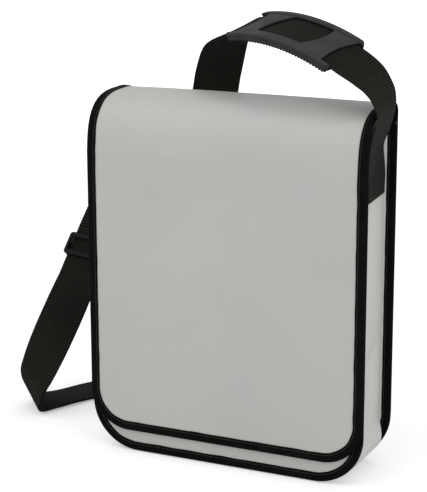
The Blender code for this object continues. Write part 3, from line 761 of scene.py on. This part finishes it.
def make_cover_and_flap():
    """The flap, the cover that goes on over the top and down the back, and their tapes.

    Returns the height where the cover's tapes end.
    """
    grid, profile, run = cover_grid()
    on_front = run < run[np.argmax(profile[:, 1])]
    split = int(np.argmax(on_front & (profile[:, 1] > SPLIT_Z)))
    flap = finish_piece(sheet("flap_sheet", grid[: split + 1]), TARP, ["flap_front"])
    cover = sheet("cover_sheet", grid[split:])
    finish_piece(cover, TARP, ["flap_shoulder", "flap_top", "back_panel"])
    bend_at_fold(flap)
    bend_at_lift(cover)

    edge = flat_edge(profile[split, 1], FLAP_LOW.z, FLAP_RADIUS, FLAP_LOW.y, FLAP_HIGH.y)
    binding = tape("flap_binding", edge)
    bend_at_fold(finish_piece(binding, BINDING, ["flap_front_binding"]))
    bend_at_fold(stitches("flap_stitches", seam_lines(edge)))

    normals = profile_normals(profile)
    last = int(np.argmax(~on_front & (profile[:, 1] < BACK_HIGH.z)))
    lines = []
    for hand, side in ((-1.0, "left"), (1.0, "right")):
        points = np.stack([np.full(len(profile), hand * HALF), profile[:, 0], profile[:, 1]], axis=-1)
        points, normal = points[split:last], normals[split:last]
        deep = smoothstep(BACK_TOP - 0.006, BACK_TOP - 0.020, points[:, 2]) * (points[:, 1] > 0)
        front = np.full(len(points), FLAP_DEPTH)
        back = FLAP_DEPTH + deep * (BACK_Y - BACK_LOW.y - FLAP_DEPTH)
        inward = np.tile([-hand, 0.0, 0.0], (len(points), 1))
        edge = Edge(points, inward, normal, front, back)
        nodes = [f"flap_shoulder_binding_{side}", f"flap_top_binding_{side}", f"back_edge_binding_{side}"]
        bend_at_lift(finish_piece(tape(f"cover_binding_{side}", edge), BINDING, nodes))
        lines += seam_lines(edge)
    bend_at_lift(stitches("cover_stitches", lines))
    return edge.places[-1][2]


def bend_at_lift(obj):
    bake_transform(obj)


def bend_at_fold(obj):
    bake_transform(obj)


def make_front_panel():
    low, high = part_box("front_panel")
    top = high.z
    rows = np.linspace(EDGE, top, 110)
    x = reach_above_bottom(rows, CORNER_RADIUS)[:, None] * np.linspace(-1.0, 1.0, 61)
    z = np.repeat(rows[:, None], 61, axis=1)
    free = smoothstep(TAPE_WIDTH, 0.05, HALF - np.abs(x)) * smoothstep(TAPE_WIDTH, 0.05, z)
    free *= smoothstep(TAPE_WIDTH, 0.04, top - z)
    y = FRONT_Y + free * 0.0006 * field(x, z, 11.0, 5.0)
    panel = sheet("front_panel_sheet", np.stack([x, y, z], axis=-1))
    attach(finish_piece(panel, TARP, ["front_panel"]), "bag")


def gusset_top(y):
    share = (y - GUSSET_FRONT) / (GUSSET_BACK - GUSSET_FRONT)
    return GUSSET_TOP_FRONT + share * (GUSSET_TOP_BACK - GUSSET_TOP_FRONT)


def gusset_section(columns=34):
    """(y, outward from the wall, share of the wall's free bulge) from the front seam to the back seam."""
    fillet = 0.0035
    lip = GUSSET_INSET - EDGE
    points = [(GUSSET_FRONT, lip), (GUSSET_FRONT, 0.6 * lip), (GUSSET_FRONT, fillet)]
    for i in range(1, 5):
        angle = math.pi / 2 * i / 4
        points.append((GUSSET_FRONT + fillet * (1 - math.cos(angle)), fillet * (1 - math.sin(angle))))
    inner = np.linspace(GUSSET_FRONT + fillet, GUSSET_BACK - fillet, columns)[1:-1]
    half = points + [(y, 0.0) for y in inner]
    mirrored = [(GUSSET_FRONT + GUSSET_BACK - y, out) for y, out in reversed(points)]
    section = np.array(half + mirrored)
    edge = np.minimum(section[:, 0] - GUSSET_FRONT, GUSSET_BACK - section[:, 0])
    return section[:, 0], section[:, 1], smoothstep(0.0, BASE_KNEE, edge)


def make_gusset():
    """One strip round both sides and the bottom. Its walls stand inside the seams and swell at the base."""
    points, outward, corner = u_outline(GUSSET_TOP_BACK, 0.0, CORNER_RADIUS, 0.0030)
    y, lift, bulge = gusset_section()
    base_drop = GUSSET_INSET - SHEET / 2
    swell = base_drop * smoothstep(-0.02, 0.42, corner)[:, None] * bulge[None, :]
    out = lift[None, :] - GUSSET_INSET + swell
    x = points[:, :1] + outward[:, :1] * out
    z = points[:, 1:] + outward[:, 1:] * out
    depth = np.broadcast_to(y[None, :], x.shape)
    side = corner < 1e-6
    start = points[side, 1].min()
    stretch = (gusset_top(depth) - start) / (GUSSET_TOP_BACK - start)
    z = np.where(side[:, None], start + (z - start) * stretch, z)
    free = np.where(lift < 1e-6, bulge, 0.0)[None, :]
    level = np.where(side[:, None], z, points[:, 1:])
    waves = 0.0010 * field(level, depth, 14.0, 21.0) + 0.0004 * field(level, depth, 45.0, 4.0)
    on_right = points[:, :1] > 0
    lens = np.exp(-(((level - 0.092) / 0.030) ** 2) - ((depth - 0.004) / 0.017) ** 2)
    crease = np.exp(-(((level - 0.118 - 0.6 * depth) / 0.010) ** 2) - ((depth - 0.006) / 0.022) ** 2)
    dent = np.where(on_right, 0.0030 * lens + 0.0012 * crease, 0.0014 * lens)
    clear = smoothstep(0.0, 0.012, points[:, 1:] - 0.012) * (1 - smoothstep(0.262, 0.282, level))
    push = free * clear * (waves + 0.0012 - dent)
    x = x + outward[:, :1] * push
    z = z + outward[:, 1:] * push
    gusset = sheet("gusset_sheet", np.stack([x, depth, z], axis=-1))
    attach(finish_piece(gusset, TARP_GUSSET_PAINTED_LIGHT, ["gusset"]), "bag")


def make_body_tapes(cover_tape_end):
    """Tapes of both seams, the mouth and the gusset's upper ends; the cover's own go on below."""
    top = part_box("mouth_binding")[1].z
    front = flat_edge(top, 0.0, CORNER_RADIUS, FRONT_LOW.y, FRONT_HIGH.y)
    tape_and_seams("front_seam_tape", front, ["front_seam_binding"])
    back = flat_edge(cover_tape_end - 0.0001, 0.0, CORNER_RADIUS, BACK_LOW.y, BACK_HIGH.y)
    tape_and_seams("back_seam_tape", back, ["back_seam_binding"])
    low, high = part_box("mouth_binding")
    depth = (high.y - low.y) / 2
    start, end = (low.x, FRONT_Y, high.z), (high.x, FRONT_Y, high.z)
    tape_and_seams("mouth_tape", straight_edge(start, end, (0, 0, -1), (0, -1, 0), depth), ["mouth_binding"])
    for hand, side in ((-1.0, "left"), (1.0, "right")):
        low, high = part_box(f"gusset_hem_{side}")
        lift = SHEET + TAPE
        start = (hand * WALL_X, low.y, gusset_top(low.y) + lift)
        end = (hand * WALL_X, high.y, gusset_top(high.y) + lift)
        edge = straight_edge(start, end, (0, 0, -1), (hand, 0, 0), (high.x - low.x) / 2)
        tape_and_seams(f"gusset_hem_tape_{side}", edge, [f"gusset_hem_{side}"], HEM_WIDTH)


def tape_and_seams(name, edge, nodes, reach=TAPE_WIDTH):
    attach(finish_piece(tape(name, edge, reach), BINDING, nodes), "bag")
    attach(stitches(f"{name}_stitches", seam_lines(edge, reach)), "bag")


def make_closures():
    """Hook strips inside the flap and loop strips on the front panel, each with a flat border round its pile.
    """
    for kind, body, facing, material, slot in (
        ("loop", "bag", -1.0, LOOPS, "loop_pile"),
        ("hook", "flap_front", 1.0, HOOKS, "hook_tape"),
    ):
        for side in ("left", "right"):
            low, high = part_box(f"{kind}_strip_{side}")
            x = np.linspace(low.x, high.x, 42)
            z = np.linspace(low.z, high.z, round((high.z - low.z) / 0.0007))
            gx, gz = np.meshgrid(x, z)
            rim = np.minimum(np.minimum(gx - low.x, high.x - gx), np.minimum(gz - low.z, high.z - gz))
            pile = smoothstep(0.0012, 0.0026, rim)
            if kind == "loop":
                tufts = 0.5 + 0.5 * field(gx, gz, 900.0, 2.0)
            else:
                tufts = (np.cos(math.pi * gx / HOOK_PITCH) * np.cos(math.pi * gz / HOOK_PITCH)) ** 2
            thick = high.y - low.y
            height = thick * (0.45 * smoothstep(-0.0002, 0.0004, rim) + pile * (0.20 + 0.45 * tufts))
            base_y = high.y if facing < 0 else low.y
            outer = np.stack([gx, base_y + facing * height, gz], axis=-1)
            inner = np.stack([gx, np.full_like(gx, base_y), gz], axis=-1)
            uv = np.stack([gz, gx], axis=-1)
            strip = slab(f"{kind}_pile_{side}", outer, inner, uv)
            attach(finish_piece(strip, material, [f"{kind}_strip_{side}"]), body)


# ---- webbing ----------------------------------------------------------------------------------------
HIDDEN_Y = 0.100  # behind this the webbing's cut doesn't show
SECTIONS_PAST_BUCKLE = 40  # the cut lies on the way back, at least so many sections after the buckle


def webbing_piece(name, centres, across, start_length=0.0, thickness=WEBBING):
    """Ribbed webbing along a path: crowned ribs on both faces and a looped selvedge."""
    places, directions, run = resample(centres, across, RIB_PITCH / 5)
    along = unit(np.gradient(places, axis=0))
    directions = unit(directions - (directions * along).sum(axis=1)[:, None] * along)
    facing = np.cross(along, directions)
    run = run + start_length
    rib = np.cos(2 * math.pi * run / RIB_PITCH)
    near_edge = np.array([1.0, 0.988, 0.96, 0.90, 0.7, 0.5, 0.25])
    v = np.concatenate([-near_edge, [0.0], near_edge[::-1]])
    full = np.interp(np.abs(v), [0.90, 0.96, 0.988, 1.0], [1.0, 0.96, 0.72, 0.30])
    half = WEBBING_WIDTH / 2 - RIB_REACH + RIB_REACH * rib
    wave = RIB_HEIGHT * rib[:, None] * full[None, :]
    body = thickness / 2 * full[None, :] - RIB_HEIGHT * 0.5
    core = places[:, None] + directions[:, None] * (half[:, None] * v)[..., None]
    top = core + facing[:, None] * (body + wave)[..., None]
    low = core - facing[:, None] * (body - wave)[..., None]
    rings = np.concatenate([top, low[:, ::-1]], axis=1)
    width = np.broadcast_to((v * WEBBING_WIDTH / 2)[None, :], top.shape[:2])
    both = np.concatenate([width, width[:, ::-1]], axis=1)
    uv = np.stack(np.broadcast_arrays(run[:, None], both), axis=-1)
    return loft(name, rings, uv, sharp=math.radians(75))


def cut_webbing(name, centres, across, cut, thickness, node):
    """Two pieces of webbing that meet at one section of the path."""
    run = lengths(centres)
    upper = webbing_piece(f"{name}_upper", centres[: cut + 1], across[: cut + 1], 0.0, thickness)
    finish_piece(upper, WEB, [node])
    lower = webbing_piece(f"{name}_lower", centres[cut:], across[cut:], run[cut], thickness)
    finish_piece(lower, WEB)
    return upper, lower


def make_strap():
    """The long webbing and the layer that returns to the buckle, both cut behind the bag out of sight."""
    after = AT_BUCKLE + SECTIONS_PAST_BUCKLE
    cut = after + int(np.argmax(STRAP_CENTRES[after:, 1] > HIDDEN_Y))
    upper, lower = cut_webbing("strap", STRAP_CENTRES, STRAP_ACROSS, cut, WEBBING, "shoulder_webbing")
    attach(upper, "bag")
    bend_at_ring(lower)

    centres, across = ribbon_sections("webbing_return", BUCKLE_MIDDLE)
    fold, _ = ribbon_sections("webbing_end_loop", BELOW_BUCKLE)
    lead = np.array([fold[0] + (centres[0] - fold[0]) * share for share in (0.05, 0.5)])
    centres = np.vstack([lead, centres])
    across = np.vstack([across[:1], across[:1], across])
    cut = int(np.argmax(centres[:, 1] > HIDDEN_Y))
    upper, lower = cut_webbing("strap_return", centres, across, cut, THIN_WEBBING, "webbing_return")
    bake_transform(upper)
    bend_at_ring(lower)


def bend_at_ring(obj):
    """Bakes the webbing's last stretch into world space; nothing ties it to the ring."""
    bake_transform(obj)


def make_short_webbing():
    """The tab that holds the ring, the webbing's turn round the ring, and its sewn fold at the buckle."""
    low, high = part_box("webbing_ring_loop")
    tab_start = (RING_TOP.x + 0.003, RING_Y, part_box("anchor_tab")[0].z - 0.01)
    loop_start = (high.x + 0.003, RING_Y, low.z - 0.012)
    for name, node, start, body in (
        ("anchor_tab_webbing", "anchor_tab", tab_start, "bag"),
        ("ring_loop_webbing", "webbing_ring_loop", loop_start, "ring"),
        ("buckle_loop_webbing", "webbing_end_loop", BELOW_BUCKLE, "buckle"),
    ):
        centres, across = ribbon_sections(node, start)
        piece = webbing_piece(name, centres, across, 0.0, THIN_WEBBING)
        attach(finish_piece(piece, WEB, [node]), body)


def make_box_stitches():
    """The sewn end on the right side: a box with a cross in it, and two rows on the ring's tab."""
    end = STRAP_CENTRES[0]
    x = end[0] + WEBBING / 2 + STITCH_LIFT
    low, high = end[2] + 0.0035, end[2] + 0.0235
    near, far = RING_Y - 0.0215, RING_Y + 0.0215
    corners = [(near, low), (far, low), (far, high), (near, high)]
    routes = [corners + corners[:1], [corners[0], corners[2]], [corners[1], corners[3]]]
    lines = [stitch_route(route, x, 1.0) for route in routes]
    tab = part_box("anchor_tab")[0]
    for z in (tab.z + 0.009, tab.z + 0.013):
        lines.append(stitch_route([(near, z), (far, z)], tab.x + STITCH_LIFT, -1.0))
    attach(stitches("webbing_stitches", lines, 0.0030, 0.0022), "bag")


def stitch_route(route, x, hand):
    points = []
    for (y0, z0), (y1, z1) in zip(route, route[1:]):
        for share in np.linspace(0, 1, 24, endpoint=False):
            points.append((x, y0 + (y1 - y0) * share, z0 + (z1 - z0) * share))
    points.append((x, *route[-1]))
    places = np.array(points)
    return places, np.tile([hand, 0.0, 0.0], (len(places), 1))


# ---- shoulder pad -----------------------------------------------------------------------------------
PAD_AXIS = np.array(joint("pad_slide")["axis"])
PAD_ORIGIN = np.array(joint("pad_slide")["pos_m"])
PAD_HALF_LENGTH = 0.071
PAD_HALF_WIDTH = 0.0305
PAD_CORNER = 0.007
TOOTH_PITCH = 0.0040
PAD_TOP = 0.0042
PAD_PLATE = 0.0032
PAD_FLOOR = -0.0032
SLOT_HALF = 0.0014
SLOT_REACH = 0.0256


def square_to_axis(points):
    """Points as seen from the pad's hinge, without their share along its axis."""
    offset = np.array(points) - PAD_ORIGIN
    return offset - (offset @ PAD_AXIS)[:, None] * PAD_AXIS


def pad_directions():
    """Unit vectors along the pad and out of it, at its middle, and the radius of the webbing under it."""
    offset = square_to_axis(STRAP_CENTRES)
    points = square_to_axis([vert.co for vert in frame["nodes"]["pad_shell"].data.vertices])
    rough = unit(square_to_axis([middle("pad_shell")])[0])
    side = np.cross(rough, PAD_AXIS)
    angles = np.arctan2(points @ side, points @ rough)
    turn = (angles.min() + angles.max()) / 2
    out = rough * math.cos(turn) + side * math.sin(turn)
    near = np.argmax(unit(offset) @ out)
    return np.cross(out, PAD_AXIS), out, np.linalg.norm(offset[near])


PAD_ALONG, PAD_OUT, PAD_RADIUS = pad_directions()


def pad_bend(points):
    """Takes (along, across towards the flap, height over the webbing) onto the webbing's arc."""
    angle = points[:, :1] / PAD_RADIUS
    radial = np.cos(angle) * PAD_OUT + np.sin(angle) * PAD_ALONG
    return PAD_ORIGIN + radial * (PAD_RADIUS + points[:, 2:]) - PAD_AXIS * points[:, 1:2]


def window_side(v, hand):
    """The window's curved end, furthest out near the front at one end and near the rear at the other."""
    centre = 0.014 * hand
    return hand * (0.0350 - 0.0100 * ((v - centre) / 0.030) ** 2)


def slot_end(v, hand):
    return hand * (0.0570 + 0.0050 * (v / 0.025) ** 2 + 0.0030 * hand * v / 0.025)


def make_pad():
    """Moulded pad: raised rims, two bridge plates, and a window between them that shows the webbing."""
    high = 0.012
    outline = rounded_rectangle(PAD_HALF_LENGTH, PAD_HALF_WIDTH, PAD_CORNER)
    body = prism("pad_body", outline, PAD_FLOOR, PAD_TOP)
    far = PAD_HALF_LENGTH + 0.01
    slot = prism("slot", rectangle(-far, far, -SLOT_REACH, SLOT_REACH), -SLOT_HALF, SLOT_HALF)
    dished = prism("dish", rectangle(-far, far, -0.0252, 0.0245), PAD_PLATE, high)
    steps = np.linspace(-0.0240, 0.0172, 16)
    outline = [(window_side(v, 1.0), v) for v in steps]
    outline += [(window_side(v, -1.0), v) for v in reversed(steps)]
    window = prism("window", outline, 0.0, high)
    ends = []
    grooves = []
    reach = np.linspace(-WEBBING_WIDTH / 2, WEBBING_WIDTH / 2, 16)
    for hand in (-1.0, 1.0):
        outline = [(slot_end(v, hand), v) for v in reach]
        outline += [(hand * far, WEBBING_WIDTH / 2), (hand * far, -WEBBING_WIDTH / 2)]
        ends.append(prism("end", outline, 0.0, high))
        edge = hand * PAD_HALF_WIDTH
        near_v, far_v = sorted((edge - hand * 0.0009, edge + hand * 0.004))
        grooves.append(prism("groove", rectangle(-far, far, near_v, far_v), -0.0006, 0.0006))
    carve(body, [slot, dished, window, *ends, *grooves])
    soften(body, 0.00042)
    move_vertices(body, pad_bend)
    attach(finish_piece(body, SHELL, ["pad_shell"]), "shoulder_pad")
    make_pad_teeth()


def make_pad_teeth():
    """The anti-slip underside: rows of small blunt teeth, also along the pad's edges."""
    top, floor, tooth = PAD_FLOOR - 0.0002, PAD_FLOOR - 0.0010, 0.0015
    u = np.linspace(-PAD_HALF_LENGTH + 0.002, PAD_HALF_LENGTH - 0.002, 174)
    v = np.linspace(-1.0, 1.0, 76)
    drawn = np.maximum(0.0, np.abs(u) - (PAD_HALF_LENGTH - PAD_CORNER))
    corner = PAD_CORNER - np.sqrt(np.maximum(PAD_CORNER**2 - drawn**2, 0.0))
    reach = PAD_HALF_WIDTH - 0.0006 - corner
    gu = np.repeat(u[:, None], len(v), axis=1)
    gv = reach[:, None] * v
    row = np.round(gv / (0.5 * TOOTH_PITCH))
    shift = np.where(row % 2 == 0, 0.0, 0.5 * TOOTH_PITCH)
    du = (gu + shift + 0.5 * TOOTH_PITCH) % TOOTH_PITCH - 0.5 * TOOTH_PITCH
    dv = gv - row * 0.5 * TOOTH_PITCH
    cone = np.clip(1.25 - np.hypot(du, 1.15 * dv) / (0.25 * TOOTH_PITCH), 0.0, 1.0)
    lower = floor - tooth * cone
    upper = np.full_like(gu, top)
    surfaces = []
    for height in (upper, lower):
        flat = np.stack([gu, gv, height], axis=-1).reshape(-1, 3)
        surfaces.append(pad_bend(flat).reshape(*gu.shape, 3))
    teeth = slab("pad_teeth", surfaces[0], surfaces[1], np.stack([gu, gv], axis=-1), math.radians(35))
    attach(finish_piece(teeth, GRIP, ["pad_grip"]), "shoulder_pad")


# ---- buckle and ring --------------------------------------------------------------------------------
BUCKLE_TOP = 0.0039
BUCKLE_BACK = -0.0052
BUCKLE_HALF = 0.0135
BUCKLE_INNER = 0.0256
BUCKLE_OUTER = 0.0295
BUCKLE_BAR = 0.0052
RIDGE_PITCH = 0.0066
RING_WIRE = 0.00128  # radius


def buckle_matrix():
    """Local axes: across the webbing, up along it, and out towards the side that shows."""
    across = STRAP_ACROSS[AT_BUCKLE]
    width = Vector(across * np.sign(across[0]))
    width = (width - BUCKLE_DOWN * width.dot(BUCKLE_DOWN)).normalized()
    facing = BUCKLE_DOWN.cross(width)
    points = [vert.co for vert in frame["nodes"]["tri_glide"].data.vertices]
    origin = facing * (max(point.dot(facing) for point in points) - BUCKLE_TOP)
    for axis in (width, BUCKLE_DOWN):
        reach = [point.dot(axis) for point in points]
        origin += axis * (min(reach) + max(reach)) / 2
    return Matrix.Translation(origin) @ Matrix((width, -BUCKLE_DOWN, facing)).transposed().to_4x4()


def make_buckle():
    """Tri-glide: two bars in front of the webbing, a ribbed bar behind it, and rounded side rails."""
    frame_outline = rounded_rectangle(BUCKLE_OUTER, BUCKLE_HALF, 0.0040)
    body = prism("buckle_frame", frame_outline, BUCKLE_BACK, BUCKLE_TOP)
    opening = BUCKLE_HALF - BUCKLE_BAR
    high = 0.02
    far = BUCKLE_HALF + 0.01
    window = prism("window", rectangle(-BUCKLE_INNER, BUCKLE_INNER, -opening, opening), -high, high)
    channel = prism("channel", rectangle(-BUCKLE_INNER, BUCKLE_INNER, -far, far), -high, 0.0011)
    carve(body, [window, channel])
    reach = BUCKLE_INNER + 0.002
    bar = prism("bar", rectangle(-reach, reach, -0.0012, 0.0012), -0.0050, -0.0028)
    ridges = []
    for i in range(-3, 4):
        x = RIDGE_PITCH * i
        for level in (-1.0, 1.0):
            y_low, y_high = sorted((level * (opening + 0.0007), level * (opening - 0.0004)))
            ridges.append(prism("ridge", rectangle(x - 0.0011, x + 0.0011, y_low, y_high), 0.0016, 0.0034))
    carve(body, [bar, *ridges], "UNION")
    soften(body, 0.00034)
    place = np.array(buckle_matrix())
    move_vertices(body, lambda points: points @ place[:3, :3].T + place[:3, 3])
    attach(finish_piece(body, PLASTIC, ["tri_glide"]), "buckle")


def make_ring():
    """A rectangular moulded ring with rounded corners and a fine parting line round it."""
    low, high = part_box("side_ring")
    top = np.array([RING_TOP.x, RING_TOP.z])
    drop = np.array([low.x + RING_WIRE, low.z + RING_WIRE]) - top
    drop_length = np.linalg.norm(drop)
    drop = drop / drop_length
    reach = (high.y - low.y) / 2 - RING_WIRE
    outline = np.array(rounded_rectangle(reach, drop_length / 2, 0.0034, 8))
    places, _, _ = resample(np.vstack([outline, outline[:1]]), np.zeros((len(outline) + 1, 0)), 0.0011)
    places = places[:-1]
    tangent = unit(np.roll(places, -1, axis=0) - np.roll(places, 1, axis=0))
    outward = np.stack([tangent[:, 1], -tangent[:, 0]], axis=-1)
    side = np.array([drop[1], 0.0, -drop[0]])
    down = np.array([drop[0], 0.0, drop[1]])
    angles = np.linspace(0, 2 * math.pi, 16, endpoint=False)
    parting = 1.0 + 0.05 * (np.cos(angles) ** 24)
    rings = []
    for (y, s), (out_y, out_s) in zip(places, outward):
        centre = np.array([top[0], RING_Y + y, top[1]]) + down * (s + drop_length / 2)
        away = np.array([0.0, out_y, 0.0]) + down * out_s
        around = [away * math.cos(angle) + side * math.sin(angle) for angle in angles]
        rings.append([centre + RING_WIRE * size * ray for ray, size in zip(around, parting)])
    ring = loft("side_ring_moulding", np.array(rings), closed=True)
    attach(finish_piece(ring, PLASTIC, ["side_ring"]), "ring")


# ---- floor, light and camera ------------------------------------------------------------------------
LENS = 117.24
CAMERA_PLACE = Vector((0.6740, -1.4699, 0.6221))
CAMERA_AIM = Vector((-0.0298, 0.0, 0.2251))
CAMERA_ROLL = -0.17  # degrees
WHITE = (1.0, 1.0, 1.0)


def make_stage():
    """A pale floor that glows a little to the camera, more so far away, where it meets the background."""
    bpy.ops.mesh.primitive_plane_add(size=30.0, location=(0.0, 0.0, -0.0006))
    floor = bpy.context.object
    floor.name = "floor"
    material, tree, shader = new_material("pale_floor")
    source = put(tree, "ShaderNodeTexCoord").outputs["Object"]
    tone = spread(tree, cloud(tree, source, 3.0), 0.3, 0.7, 0.0, 1.0)
    colour = mixed(tree, tone, (0.90, 0.90, 0.90), (0.93, 0.93, 0.93))
    connect(tree, shader, colour=colour, roughness=0.9, specular=0.1)
    seen = put(tree, "ShaderNodeLightPath").outputs["Is Camera Ray"]
    assign(tree, shader.inputs["Emission Color"], WHITE)
    away = put(tree, "ShaderNodeVectorMath", [(0, source)], operation="LENGTH").outputs["Value"]
    glow = spread(tree, away, 1.0, 3.5, 0.33, 0.90)
    assign(tree, shader.inputs["Emission Strength"], calc(tree, "MULTIPLY", seen, glow))
    floor.data.materials.append(material)


def add_area_light(name, location, target, size, power):
    light = bpy.data.lights.new(name, "AREA")
    light.shape = "RECTANGLE"
    light.size, light.size_y = size
    light.energy = power
    obj = add_object(name, light)
    obj.location = location
    obj.rotation_euler = (Vector(target) - Vector(location)).to_track_quat("-Z", "Y").to_euler()


def make_light():
    add_area_light("key", (-1.0, -1.5, 1.8), (0.0, 0.0, 0.25), (2.6, 2.4), 14.0)
    add_area_light("fill", (2.5, -0.9, 1.2), (0.0, 0.0, 0.2), (1.8, 1.8), 16.0)
    add_area_light("top", (0.2, -0.2, 2.7), (0.0, 0.0, 0.2), (3.6, 3.6), 19.0)
    world = bpy.data.worlds.new("studio")
    bpy.context.scene.world = world
    world.use_nodes = True
    tree = world.node_tree
    tree.nodes.clear()
    rays = put(tree, "ShaderNodeLightPath")
    soft = put(tree, "ShaderNodeBackground", [("Color", WHITE), ("Strength", 0.58)])
    seen = put(tree, "ShaderNodeBackground", [("Color", WHITE), ("Strength", 1.0)])
    shown = [(0, rays.outputs["Is Camera Ray"]), (1, soft.outputs[0]), (2, seen.outputs[0])]
    mix = put(tree, "ShaderNodeMixShader", shown)
    put(tree, "ShaderNodeOutputWorld", [(0, mix.outputs[0])])
    bpy.context.scene.view_settings.view_transform = "Standard"


def make_camera():
    data = bpy.data.cameras.new("camera")
    data.lens = LENS
    camera = add_object("camera", data)
    turn = (CAMERA_AIM - CAMERA_PLACE).to_track_quat("-Z", "Y").to_matrix().to_4x4()
    roll = Matrix.Rotation(math.radians(CAMERA_ROLL), 4, "Z")
    camera.matrix_world = Matrix.Translation(CAMERA_PLACE) @ turn @ roll
    bpy.context.scene.camera = camera


cover_tape_end = make_cover_and_flap()
make_front_panel()
make_gusset()
make_body_tapes(cover_tape_end)
make_closures()
make_strap()
make_short_webbing()
make_box_stitches()
make_pad()
make_buckle()
make_ring()
frame["nodes"]["base_board"].data.materials.clear()
frame["nodes"]["base_board"].data.materials.append(BOARD)
make_stage()
make_light()
make_camera()
